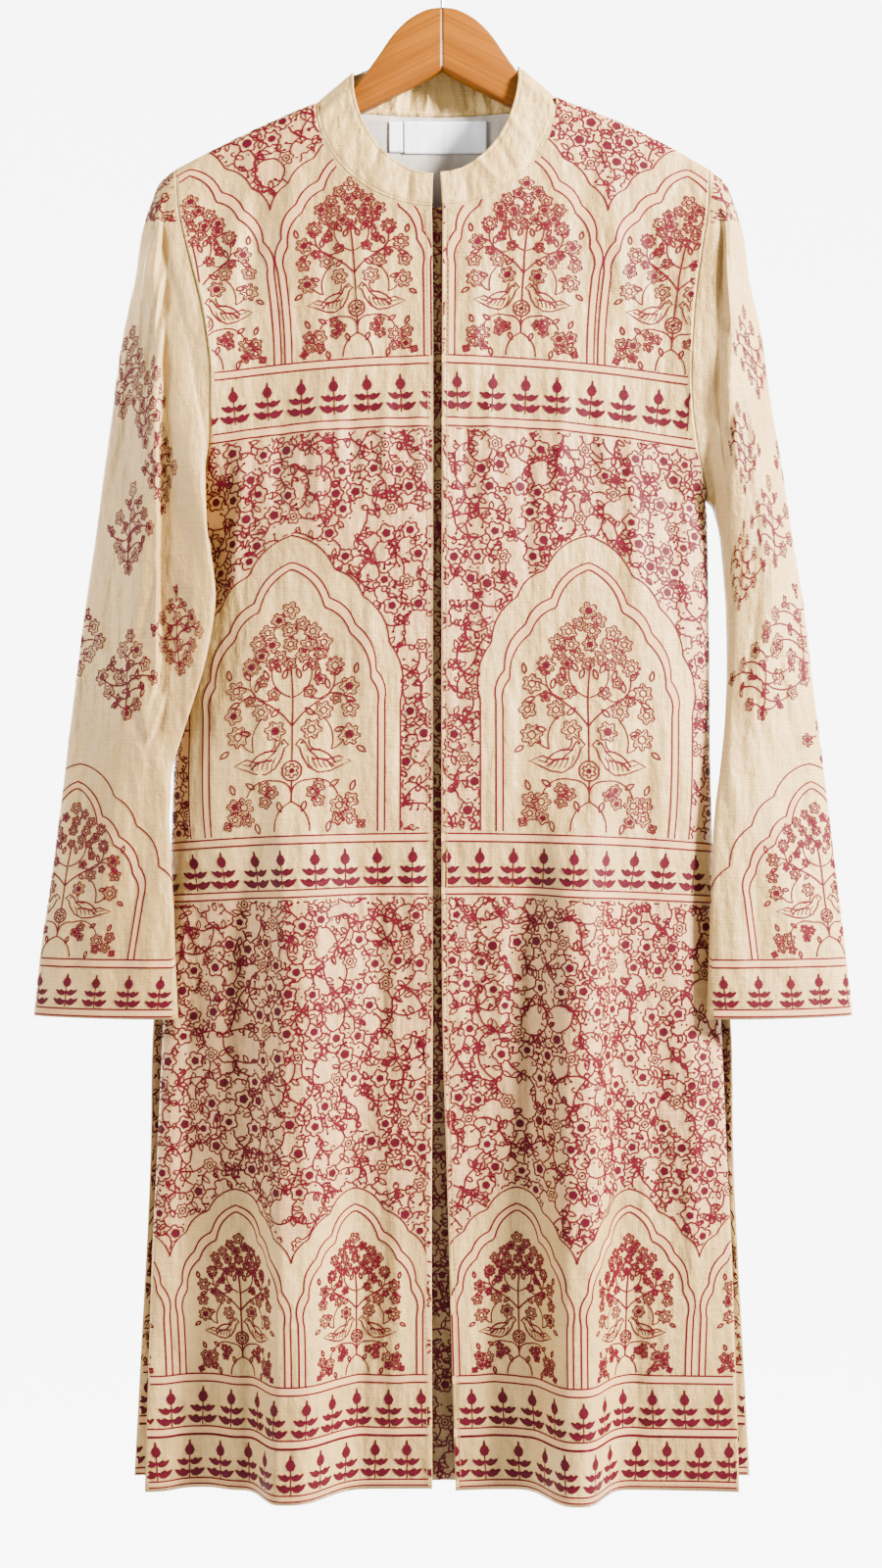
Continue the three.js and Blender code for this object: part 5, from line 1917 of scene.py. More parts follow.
@dataclass
class BandCollar:
    """The standing band round the neck, with a rounded top fold."""

    form: BodyForm
    panels: tuple[BodyPanel, BodyPanel, BodyPanel]
    rise: float = 26.0
    back_rise: float = 40.0
    side_rise: float = 24.0
    draw: float = 0.3
    front_lean: float = 0.24
    back_lean: float = 0.14
    lean_from: float = 9.0
    wall: float = 1.5
    stand_off: float = 0.36
    columns: int = 300
    rows: int = 14
    arc: int = 5
    dent_scale: float = 1.8
    stitched: tuple[float, ...] = (0.045, 0.07, 0.095, 0.905, 0.93, 0.955)
    stitch_depth: float = 0.45
    stitch_width: float = 0.016
    dents: tuple[Dent, ...] = table(
        Dent,
        (0.045, 0.55, 3, 0.5, -1.1, 6), (0.085, 0.35, 4, 0.4, 0.9, -8), (0.125, 0.7, 4.5, 0.5, -1.3, 10),
        (0.175, 0.4, 5, 0.5, 0.8, 4), (0.235, 0.6, 6, 0.6, -0.7, -6), (0.33, 0.5, 7, 0.7, 0.6, 0),
        (0.405, 0.2, 2.6, 0.5, 1.1, 1), (0.428, 0.25, 2.2, 0.6, -1, 0), (0.452, 0.2, 2.4, 0.5, 1.2, 1),
        (0.481, 0.3, 2.6, 0.7, -1.2, 0), (0.503, 0.3, 2.4, 0.8, 1.3, 0), (0.527, 0.2, 2.6, 0.6, -1.1, -1),
        (0.553, 0.25, 2.4, 0.5, 1, 0), (0.581, 0.2, 3, 0.5, -0.8, 0), (0.66, 0.5, 7, 0.7, 0.6, 0),
        (0.75, 0.5, 5.5, 0.6, -0.8, 5), (0.81, 0.65, 5, 0.5, 0.9, -4), (0.865, 0.4, 4, 0.5, -1.2, -9),
        (0.905, 0.6, 4, 0.5, 1, 7), (0.955, 0.45, 3.5, 0.5, -1, -5),
    )

    def neck_edge(self) -> Array:
        """The neck's edge from the right front's centre edge round the back to the left front's.

        Returns:
            The edge's points at even steps.
        """
        form = self.form
        right, back, left = (p.points[0] for p in self.panels)
        edges = [
            edge[np.abs(edge[:, 0] - form.neck_x) < form.neck_half - 0.3] for edge in (right, back, left)]
        ends = [form.neck_x + side * form.neck_half for side in (-1, 1)]
        points = [np.array([[x, 0.0, float(form.shoulder_line(np.array(x)))]]) for x in ends]
        path = np.concatenate([edges[0], points[0], edges[1], points[1], edges[2][::-1]])
        self.length = float(run_along(path)[-1])
        return resample(path, self.columns)

    def outer(self) -> tuple[Array, Array]:
        """The band's outer face, from its seam up, and the vectors out of it.

        Returns:
            The points and the vectors, rows by columns by 3.
        """
        edge = self.neck_edge()[None]
        share = np.unique(np.concatenate([np.linspace(0, 1, self.rows), self.stitched]))[:, None]
        away = edge[..., 0] - self.form.neck_x
        front = edge[..., 1] < 0
        side = np.clip(np.abs(away) / self.form.neck_half, 0, 1) ** 4
        rise = mix(np.where(front, self.rise, self.back_rise), self.side_rise, side)
        lean = np.where(front, self.front_lean, self.back_lean)
        lean = lean * np.maximum(0, np.abs(edge[..., 1]) - self.lean_from)
        stand = np.stack([-self.draw * away, 0 * away, rise], axis=-1)
        points = edge + stand * share[..., None] + unit(stand) * self.stand_off
        points[..., 1] -= np.sign(edge[..., 1]) * lean * share
        from_neck = (points - np.array([self.form.neck_x, 0.0, 0.0])) * np.array([1, 1, 0])
        out = facing(grid_normals(points), from_neck)
        along = np.linspace(0, self.length, self.columns)[None]
        for d in self.dents:
            middle = d.around * self.length + d.lean * (share - d.share)
            bump = np.exp(-(((along - middle) / d.width) ** 2) - ((share - d.share) / d.reach) ** 2)
            points = points + out * (self.dent_scale * d.height * bump * ease(share / 0.25))[..., None]
        for row in (self.stitched[1], self.stitched[4]):
            groove = np.exp(-(((share - row) / self.stitch_width) ** 2))
            points = points - out * (self.stitch_depth * groove)[..., None]
        return points, out

    def build(self, material: bpy.types.Material) -> bpy.types.Object:
        """Make the collar's object.

        Args:
            material: what covers it.

        Returns:
            The new object.
        """
        outer, out = self.outer()
        half = self.wall / 2
        middle = outer - out * half
        up = unit(outer[-1] - outer[-2])
        turns = np.linspace(0, math.pi, self.arc + 2)[1:-1]
        top = [middle[-1] + out[-1] * half * math.cos(a) + up * half * math.sin(a) for a in turns]
        inner = (outer - out * self.wall)[::-1]
        section = np.concatenate([outer, np.array(top), inner])
        count, columns = section.shape[:2]
        points = section.transpose(1, 0, 2).reshape(-1, 3)
        return add_object("collar_band", points, [f[::-1] for f in tube_faces(columns, count)], material)


@dataclass
class UnderPlacket(ClothSheet):
    """The strip behind the fronts' edges, sewn to the wearer's right one."""

    form: BodyForm
    half: float = 28.0
    below_neck: float = 0.8
    bottom: float = -1222.0
    sewn: float = 1.7
    recess: float = 2.4
    hem_recess: float = 6.0
    rows: int = 130
    columns: int = 25

    def __post_init__(self) -> None:
        """Work out the strip's points."""
        self.cloth = 1.0
        form = self.form
        x = np.linspace(-self.half, self.half, self.columns)[None]
        down = np.linspace(0, 1, self.rows)[:, None]
        top = form.neck_line(x, form.neck_front) - self.below_neck
        z = mix(top, self.bottom, down)
        extra = self.hem_recess * ease((form.slit_top - z) / (form.slit_top - form.hem))
        share = np.abs(x) / form.half_width(Face.FRONT, z, np.sign(x))
        recess = np.where(x < 0, self.sewn, self.recess)
        y = -form.depth(Face.FRONT, x + 0 * z, z, share) + recess + extra
        ripple = 0.35 * np.sin(z / 23.0 + x / 9.0) * ease((x + 5) / 12)
        self.points = np.stack(np.broadcast_arrays(x, y + ripple, z), axis=-1)
        self.outward = facing(grid_normals(self.points), np.array([0.0, -1.0, 0.0]))

    def place(self, s: Array, h: Array, lift: float) -> tuple[Array, Array]:
        """Points for places across and heights on the strip, and which are on it.

        Args:
            s: places across the strip.
            h: heights.
            lift: how far off the cloth the print's face lies.

        Returns:
            The points, and which of them are on the strip.
        """
        c = (s + self.half) / (2 * self.half) * (self.columns - 1)
        top = np.interp(c, np.arange(self.columns), self.points[0, :, 2])
        r = (top - h) / (top - self.bottom) * (self.rows - 1)
        ok = (c >= 0) & (c <= self.columns - 1) & (r >= 0) & (r <= self.rows - 1)
        r, c = np.clip(r, 0, self.rows - 1.001), np.clip(c, 0, self.columns - 1.001)
        return on_grid(self.lifted(lift), r, c), ok


@dataclass
class InsideBack:
    """A sheet that lies on the inside of the back: the lining or a label."""

    name: str
    form: BodyForm
    left: float
    right: float
    top: float | None
    bottom: float
    recess: float
    cloth: float
    columns: int
    rows: int
    ruffle: float = 0.0
    below_shoulder: float = 16.0

    def build(self, material: bpy.types.Material) -> bpy.types.Object:
        """Make the sheet's object.

        Args:
            material: what covers it.

        Returns:
            The new object.
        """
        form = self.form
        x = np.linspace(self.left, self.right, self.columns)[None]
        down = np.linspace(0, 1, self.rows)[:, None]
        if self.top is None:
            top = np.minimum(
                form.neck_line(x, form.neck_back) - 0.5, form.shoulder_line(x) - self.below_shoulder)
        else:
            top = np.full(x.shape, self.top)
        z = mix(top, self.bottom, down)
        share = np.abs(x) / form.half_width(Face.BACK, z, np.sign(x))
        y = form.depth(Face.BACK, x + 0 * z, z, share) - self.recess
        pucker = np.sin(x / 3.9) * 0.6 + np.sin(x / 2.3 + 1.0) * 0.4
        y = y - self.ruffle * (1 + pucker * np.exp(-down * 9.0)) / 2
        points = np.stack(np.broadcast_arrays(x, y, z), axis=-1)
        outward = np.broadcast_to(np.array([0.0, 1.0, 0.0]), points.shape)
        cloud, faces = wall(points, outward, self.cloth)
        return add_object(self.name, cloud, faces, material)


# ---- Hanger ----


class ArmRow(NamedTuple):
    """The wooden arm's top and bottom edge at one distance from the middle."""

    x: float
    top: float
    bottom: float


@dataclass
class Hanger:
    """The two-piece wooden hanger with its steel hook."""

    form: BodyForm
    half_thickness: float = 5.5
    clearance: float = 2.4
    tip_x: float = 203.0
    tip_round: float = 9.0
    centre_gap: float = 0.15
    depth_at_neck: float = 21.0
    depth_at_tip: float = 16.0
    edge_round: float = 3.2
    wire: float = 1.7
    hook_radius: float = 20.5
    stem_bottom: float = -86.0
    stem_top: float = -50.0
    hook_start: float = -58.0
    hook_end: float = 208.0
    outline: tuple[ArmRow, ...] = table(
        ArmRow,
        (0, -61.6, -111), (12, -63.5, -117.5), (26, -71, -125), (38.5, -83, -131.5), (49, -98, -137),
        (62, -116, -143.5), (75, -130, -149.5), (88, -140, -155.5), (102, -145.5, -162.5), (117, -150, -170),
    )

    def stations(self, side: int) -> list[tuple[float, float, float, float]]:
        """Sections of an arm from the middle out: x, top, bottom and share of the thickness.

        Args:
            side: -1 for the wearer's right arm and 1 for the left.

        Returns:
            The sections.
        """
        form = self.form
        rows = [(r.x, r.top, r.bottom) for r in self.outline]
        start, straight_end = self.outline[-1].x, self.tip_x - self.tip_round
        for k in range(1, 6):
            x = mix(start, straight_end, k / 5)
            top = float(form.shoulder_line(np.array(side * x))) - self.clearance
            rows.append((x, top, top - mix(self.depth_at_neck, self.depth_at_tip, k / 5)))
        stations = np.array(rows)[::-1]
        xs = np.concatenate([
            np.linspace(self.centre_gap, 12, 7), np.arange(15, straight_end, 3.0), [straight_end]])
        smooth = [Track(stations[:, 0], stations[:, k]).at(xs) for k in (1, 2)]
        out = [(x, t, b, 1.0) for x, t, b in zip(xs, *smooth)]
        x0, t0, b0, _ = out[-1]
        level = float(form.shoulder_line(np.array(side * x0)))
        for turn in (15, 30, 45, 58, 70, 80, 86):
            a = math.radians(turn)
            x = x0 + self.tip_round * math.sin(a)
            middle = (t0 + b0) / 2 + float(form.shoulder_line(np.array(side * x))) - level
            half = (t0 - b0) / 2 * math.cos(a)
            out.append((x, middle + half, middle - half, mix(0.45, 1, math.cos(a))))
        return out

    def arm(self, side: int, name: str, material: bpy.types.Material) -> bpy.types.Object:
        """Make one arm: rounded sections from the middle joint to the round tip.

        Args:
            side: -1 for the wearer's right and 1 for the left.
            name: the object's name.
            material: what covers it.

        Returns:
            The new object.
        """
        rings = []
        for x, top, bottom, thick in self.stations(side):
            h = self.half_thickness * thick
            r = min(self.edge_round * thick, (top - bottom) * 0.45, h * 0.95)
            ring = []
            for cy, cz, start in ((h - r, top - r, 0), (-(h - r), top - r, 90), (-(h - r), bottom + r, 180),
                                  (h - r, bottom + r, 270)):
                for turn in (0, 22.5, 45, 67.5, 90):
                    a = math.radians(start + turn)
                    ring.append((side * x, cy + r * math.cos(a), cz + r * math.sin(a)))
            rings.append(ring)
        points = np.array(rings)
        faces = [f[::-side] for f in tube_faces(len(points), points.shape[1])]
        return add_object(name, points.reshape(-1, 3), faces, material)

    def hook(self, material: bpy.types.Material) -> bpy.types.Object:
        """Make the hook: a round wire along its stem, its bend and its open bow.

        Args:
            material: what covers it.

        Returns:
            The new object.
        """
        centre = self.wire - self.hook_radius
        knots = [(0, self.stem_bottom), (0, mix(self.stem_bottom, self.stem_top, 0.55)), (0, self.stem_top),
                 (2.2, self.stem_top + 6)]
        for turn in np.arange(self.hook_start, self.hook_end + 1, 19.0):
            a = math.radians(turn)
            knots.append((self.hook_radius * math.cos(a), centre + self.hook_radius * math.sin(a)))
        path = catmull(np.array([(x, 0.0, z) for x, z in knots]), 9)
        ahead = unit(np.gradient(path, axis=0))
        side = np.broadcast_to(np.array([0.0, 1.0, 0.0]), path.shape)
        across = np.cross(ahead, side)
        around = np.linspace(0, 2 * math.pi, 20, endpoint=False)
        rings = path[:, None] + self.wire * (
            np.cos(around)[None, :, None] * side[:, None] + np.sin(around)[None, :, None] * across[:, None])
        tip = path[-1] + ahead[-1] * self.wire * 0.75
        points = np.concatenate([rings.reshape(-1, 3), [tip]])
        n, count = len(path), len(around)
        end = (n - 1) * count
        faces = tube_faces(n, count)[:-1]
        faces += [[n * count, end + (k + 1) % count, end + k] for k in range(count)]
        return add_object("hook_wire", points, [f[::-1] for f in faces], material)


def catmull(knots: Array, steps: int) -> Array:
    """A centripetal curve through knots.

    Args:
        knots: the points it goes through.
        steps: how many parts each stretch is cut in.

    Returns:
        Points of the curve.
    """
    padded = np.concatenate([[2 * knots[0] - knots[1]], knots, [2 * knots[-1] - knots[-2]]])
    out = []
    for k in range(len(knots) - 1):
        p = padded[k:k + 4]
        t = np.concatenate([[0], np.cumsum(np.linalg.norm(np.diff(p, axis=0), axis=1) ** 0.5)])
        for s in np.linspace(t[1], t[2], steps, endpoint=False):
            a = [mix(p[i], p[i + 1], (s - t[i]) / (t[i + 1] - t[i])) for i in range(3)]
            b = [mix(a[i], a[i + 1], (s - t[i]) / (t[i + 2] - t[i])) for i in range(2)]
            out.append(mix(b[0], b[1], (s - t[1]) / (t[2] - t[1])))
    out.append(knots[-1])
    return np.array(out)


# ---- Finishes ----


class Graph:
    """A new material and the nodes added to it."""

    def __init__(self, name: str) -> None:
        """Make a material with its shader.

        Args:
            name: the material's name.
        """
        self.material = bpy.data.materials.new(name)
        self.material.use_nodes = True
        self.tree = self.material.node_tree
        self.shader = self.tree.nodes["Principled BSDF"]
        self.place = self.tree.nodes.new("ShaderNodeTexCoord").outputs["Object"]

    def set(self, **values: object) -> None:
        """Set the shader's own sockets, named with underscores for spaces."""
        for key, value in values.items():
            self.shader.inputs[key.replace("_", " ")].default_value = value

    def node(
        self, kind: str, inputs: dict[str | int, object] | None = None, **settings: object
    ) -> bpy.types.Node:
        """Add a node.

        Args:
            kind: its type.
            inputs: its sockets' values, or the sockets that feed them.
            settings: its other settings.

        Returns:
            The node.
        """
        node = self.tree.nodes.new(kind)
        for key, value in settings.items():
            setattr(node, key, value)
        for key, value in (inputs or {}).items():
            if isinstance(value, bpy.types.NodeSocket):
                self.tree.links.new(value, node.inputs[key])
            else:
                node.inputs[key].default_value = value
        return node

    def feed(self, socket: bpy.types.NodeSocket, name: str) -> None:
        """Feed one of the shader's sockets."""
        self.tree.links.new(socket, self.shader.inputs[name])

    def stretched(self, scale: tuple[float, float, float]) -> bpy.types.NodeSocket:
        """The object's place, scaled by axis."""
        return self.node("ShaderNodeMapping", {"Vector": self.place, "Scale": scale}).outputs[0]

    def noise(
        self, scale: tuple[float, float, float], detail: float = 2.0, rough: float = 0.5
    ) -> bpy.types.NodeSocket:
        """Noise with its own scale along each axis, per metre."""
        values = {"Vector": self.stretched(scale), "Scale": 1.0, "Detail": detail, "Roughness": rough}
        return self.node("ShaderNodeTexNoise", values).outputs[0]

    def fit(self, value: bpy.types.NodeSocket, low: float, high: float, to_low: float,
            to_high: float) -> bpy.types.NodeSocket:
        """Spread a range of values over another."""
        values = {0: value, 1: low, 2: high, 3: to_low, 4: to_high}
        return self.node("ShaderNodeMapRange", values, clamp=True).outputs[0]

    def blend(self, share: bpy.types.NodeSocket | float, a: object, b: object,
              kind: str = "MIX") -> bpy.types.NodeSocket:
        """Blend two colours."""
        node = self.node("ShaderNodeMix", {0: share, 6: a, 7: b}, data_type="RGBA", blend_type=kind)
        return node.outputs[2]

    def sum(self, *terms: tuple[bpy.types.NodeSocket, float]) -> bpy.types.NodeSocket:
        """Add values, each times a weight.

        Args:
            terms: pairs of a value and its weight.

        Returns:
            The sum.
        """
        total = None
        for value, weight in terms:
            scaled = self.node("ShaderNodeMath", {0: value, 1: weight}, operation="MULTIPLY").outputs[0]
            if total is None:
                total = scaled
            else:
                total = self.node("ShaderNodeMath", {0: total, 1: scaled}, operation="ADD").outputs[0]
        return total

    def emboss(self, height: bpy.types.NodeSocket, distance: float, strength: float = 1.0) -> None:
        """Feed the shader's normal from a height in units of distance."""
        values = {"Height": height, "Distance": distance, "Strength": strength}
        self.feed(self.node("ShaderNodeBump", values).outputs[0], "Normal")


def rgba(colour: tuple[float, float, float]) -> tuple[float, float, float, float]:
    """An opaque colour."""
    return (*colour, 1.0)


@dataclass(frozen=True)
class SilkFinish:
    """Tussar silk: warm, uneven threads with slubs, soft crumples and a low sheen."""

    name: str
    light: tuple[float, float, float] = (0.365, 0.222, 0.068)
    dark: tuple[float, float, float] = (0.25, 0.142, 0.034)
    ground: tuple[float, float, float] | None = None
    slub: float = 0.16
    crumple: float = 0.007
    sheen: float = 0.12

    def make(self) -> bpy.types.Material:
        """Make the material.

        Returns:
            The material.
        """
        g = Graph(self.name)
        g.set(Roughness=0.5, Specular_IOR_Level=0.35, Sheen_Weight=self.sheen, Sheen_Roughness=0.45,
              Sheen_Tint=rgba((1.0, 0.82, 0.55)))
        mottle = g.fit(g.noise((11, 11, 5), 4.0, 0.6), 0.34, 0.66, 0.0, 1.0)
        colour = g.blend(mottle, rgba(self.dark), rgba(self.light))
        if self.ground is not None:
            mark = g.node("ShaderNodeAttribute", attribute_name="flowered").outputs["Fac"]
            colour = g.blend(mark, colour, rgba(self.ground))
        weft = g.fit(g.noise((42, 42, 1300), 3.0, 0.6), 0.4, 0.72, 0.0, 1.0)
        warp = g.fit(g.noise((1300, 1300, 30), 2.0, 0.5), 0.35, 0.75, 0.0, 1.0)
        threads = g.sum((weft, 0.6), (warp, 0.4))
        dim = g.fit(threads, 0.0, 1.0, 1.0 - self.slub, 1.0 + self.slub)
        tone = g.node("ShaderNodeCombineColor", {0: dim, 1: dim, 2: dim}).outputs[0]
        g.feed(g.blend(1.0, colour, tone, "MULTIPLY"), "Base Color")
        crumple = g.noise((48, 48, 11), 2.5, 0.5)
        fine = g.noise((120, 120, 70), 3.0, 0.55)
        height = g.sum((crumple, 1.0), (fine, 0.32), (threads, 0.04))
        g.emboss(height, self.crumple)
        g.feed(g.fit(threads, 0.0, 1.0, 0.56, 0.44), "Roughness")
        return g.material


@dataclass(frozen=True)
class InkFinish:
    """A printed colour, worn a little thin over the threads; also serves for the painted shadow in the
    hanger's joint.
    """

    name: str
    full: tuple[float, float, float]
    worn: tuple[float, float, float]

    def make(self) -> bpy.types.Material:
        """Make the material.

        Returns:
            The material.
        """
        g = Graph(self.name)
        g.set(Roughness=0.62, Specular_IOR_Level=0.08)
        wear = g.fit(g.noise((260, 260, 420), 2.0, 0.6), 0.4, 0.75, 0.0, 1.0)
        g.feed(g.blend(wear, rgba(self.full), rgba(self.worn)), "Base Color")
        g.emboss(g.noise((48, 48, 11), 2.5, 0.5), 0.0016)
        return g.material


@dataclass(frozen=True)
class ClothFinish:
    """A plain thin cloth: lining cotton or label satin."""

    name: str
    light: tuple[float, float, float]
    dark: tuple[float, float, float]
    roughness: float
    weave: tuple[float, float, float]

    def make(self) -> bpy.types.Material:
        """Make the material.

        Returns:
            The material.
        """
        g = Graph(self.name)
        g.set(Roughness=self.roughness, Specular_IOR_Level=0.25, Sheen_Weight=0.1)
        mottle = g.fit(g.noise((40, 40, 22), 3.0), 0.35, 0.65, 0.0, 1.0)
        g.feed(g.blend(mottle, rgba(self.dark), rgba(self.light)), "Base Color")
        g.emboss(g.sum((g.noise((70, 70, 18), 2.0), 1.0), (g.noise(self.weave, 1.0), 0.1)), 0.0012)
        return g.material


@dataclass(frozen=True)
class WoodFinish:
    """Clear-lacquered beech with its grain along the arms."""

    name: str
    slope: float = 0.5
    pale: tuple[float, float, float] = (0.15, 0.045, 0.001)
    deep: tuple[float, float, float] = (0.085, 0.021, 0.0)

    def make(self) -> bpy.types.Material:
        """Make the material.

        Returns:
            The material.
        """
        g = Graph(self.name)
        g.set(Roughness=0.4, Specular_IOR_Level=0.12, Coat_Weight=0.03, Coat_Roughness=0.2)
        parts = g.node("ShaderNodeSeparateXYZ", {0: g.place}).outputs
        out = g.node("ShaderNodeMath", {0: parts[0]}, operation="ABSOLUTE").outputs[0]
        across = g.sum((parts[2], 1.0), (out, self.slope))
        grain = g.node("ShaderNodeCombineXYZ", {0: out, 1: parts[1], 2: across}).outputs[0]
        streaks = []
        for scale, detail in (((9, 90, 420), 4.0), ((4, 40, 110), 2.0), ((60, 200, 1500), 1.0)):
            along = g.node("ShaderNodeMapping", {"Vector": grain, "Scale": scale}).outputs[0]
            values = {"Vector": along, "Scale": 1.0, "Detail": detail, "Distortion": 0.4}
            streaks.append(g.node("ShaderNodeTexNoise", values).outputs[0])
        mixed = g.sum((streaks[0], 0.45), (streaks[1], 0.4), (streaks[2], 0.15))
        share = g.fit(mixed, 0.36, 0.64, 0.0, 1.0)
        g.feed(g.blend(share, rgba(self.deep), rgba(self.pale)), "Base Color")
        g.emboss(streaks[2], 0.00012)
        return g.material


@dataclass(frozen=True)
class SteelFinish:
    """Bright nickelled wire."""

    name: str
    colour: tuple[float, float, float] = (0.55, 0.56, 0.58)

    def make(self) -> bpy.types.Material:
        """Make the material.

        Returns:
            The material.
        """
        g = Graph(self.name)
        g.set(Metallic=1.0, Roughness=0.2, Base_Color=rgba(self.colour))
        g.feed(g.fit(g.noise((300, 300, 300), 2.0), 0.3, 0.7, 0.16, 0.26), "Roughness")
        return g.material


# ---- Studio ----


class Lamp(NamedTuple):
    """A soft square light: its name, where it stands, its side in millimetres and its power in watts."""

    name: str
    place: tuple[float, float, float]
    size: float
    power: float


@dataclass
class Studio:
    """A plain pale floor that curves up all round, soft lights and the camera."""

    camera_x: float = -0.8
    camera_y: float = -1530.0
    camera_z: float = -675.0
    lens: float = 44.4
    sensor: float = 36.0
    floor_z: float = -1900.0
    floor_radius: float = 4200.0
    cove: float = 1500.0
    rim_z: float = 4000.0
    floor_glow: float = 6.0
    front_share: float = 0.045
    air: float = 0.1
    aim: tuple[float, float, float] = (0.0, 0.0, -650.0)
    lamps: tuple[Lamp, ...] = (
        Lamp("key", (2000.0, -1050.0, 500.0), 450.0, 900.0),
        Lamp("fill", (-2300.0, -800.0, 300.0), 500.0, 140.0),
        Lamp("back_key", (-1300.0, 1900.0, 400.0), 700.0, 120.0),
    )

    def camera(self) -> None:
        """Make the camera, level and square to the front."""
        data = bpy.data.cameras.new("camera")
        data.sensor_fit = "AUTO"
        data.sensor_width = self.sensor
        data.lens = self.lens
        data.clip_start, data.clip_end = 0.01, 100.0
        eye = bpy.data.objects.new("camera", data)
        eye.location = Vector((self.camera_x, self.camera_y, self.camera_z)) * MM
        eye.rotation_euler = (math.pi / 2, 0.0, 0.0)
        bpy.context.scene.collection.objects.link(eye)
        bpy.context.scene.camera = eye

    def floor(self) -> None:
        """Make the floor and the cove around it; the paper glows as painted light, brighter behind than in
        front.
        """
        turns, arc = 96, 16
        profile = [(self.floor_radius * t, self.floor_z) for t in (0.02, 0.3, 0.6, 1.0)]
        for k in range(1, arc + 1):
            a = math.pi / 2 * k / arc
            out, up = self.cove * math.sin(a), self.cove * (1 - math.cos(a))
            profile.append((self.floor_radius + out, self.floor_z + up))
        profile.append((self.floor_radius + self.cove, self.rim_z))
        angles = np.arange(turns) * 2 * math.pi / turns
        rings = np.array([[(r * math.cos(a), r * math.sin(a), z) for a in angles] for r, z in profile])
        faces = tube_faces(len(profile), turns)[:-1]
        g = Graph("studio_paper")
        g.set(Base_Color=(0.35, 0.35, 0.35, 1.0), Roughness=0.9, Emission_Color=(1.0, 1.0, 1.0, 1.0))
        # Painted light: the paper glows, dim in front and bright behind, lighting the garment and whitening
        # the background.
        behind = g.node("ShaderNodeSeparateXYZ", {0: g.place}).outputs[1]
        glow = g.fit(behind, -0.5, 1.2, self.floor_glow * self.front_share, self.floor_glow)
        g.feed(glow, "Emission Strength")
        add_object("studio_floor", rings.reshape(-1, 3), faces, g.material)

    def light(self, lamp: Lamp) -> None:
        """Make one soft square light.

        Args:
            lamp: what it is and where it stands.
        """
        data = bpy.data.lights.new(lamp.name, "AREA")
        data.energy = lamp.power
        data.shape = "SQUARE"
        data.size = lamp.size * MM
        light = bpy.data.objects.new(lamp.name, data)
        light.location = Vector(lamp.place) * MM
        light.rotation_euler = (Vector(self.aim) - Vector(lamp.place)).to_track_quat("-Z", "Y").to_euler()
        bpy.context.scene.collection.objects.link(light)

    def world(self) -> None:
        """Give the world a pale even light."""
        world = bpy.data.worlds.new("studio_air")
        world.use_nodes = True
        back = world.node_tree.nodes["Background"]
        back.inputs["Color"].default_value = (1.0, 1.0, 1.0, 1.0)
        back.inputs["Strength"].default_value = self.air
        bpy.context.scene.world = world

    def build(self) -> None:
        """Make the whole studio."""
        self.camera()
        self.floor()
        self.world()
        for lamp in self.lamps:
            self.light(lamp)
        LOG.info("studio made")


# ---- The kurta ----

SLEEVE_CREASES = table(
    Crease,
    (64, -250, -850, 15, 2.4, 0.02), (-58, -260, -850, 12, 2.8, -0.03), (30, -215, -330, 6, 1.8, 0.1),
    (58, -240, -420, 7, -1.8, -0.08), (84, -300, -470, 7, 1.8, -0.1), (22, -340, -470, 6, -1.4, 0.12),
    (46, -430, -560, 6, 1.7, 0.25), (78, -470, -610, 6, -1.8, 0.3), (30, -520, -640, 5, 1.6, -0.35),
    (62, -560, -665, 5, -1.6, -0.5), (88, -600, -720, 6, 1.8, -0.3), (20, -610, -760, 6, -1.3, 0.06),
    (52, -660, -800, 7, 1.5, 0.04), (76, -690, -850, 7, -1.7, 0.05), (96, -740, -860, 6, 1.6, 0),
    (34, -760, -862, 7, -1.2, -0.05), (-30, -230, -400, 8, 1.7, 0), (-64, -260, -450, 8, -1.8, 0.08),
    (-96, -340, -520, 7, 1.7, 0.1), (-40, -440, -570, 7, -1.6, -0.25), (-72, -520, -640, 6, 1.8, 0.35),
    (-34, -590, -720, 7, 1.6, 0.1), (-70, -650, -800, 7, -1.7, -0.05), (-98, -700, -850, 7, 1.6, 0),
)


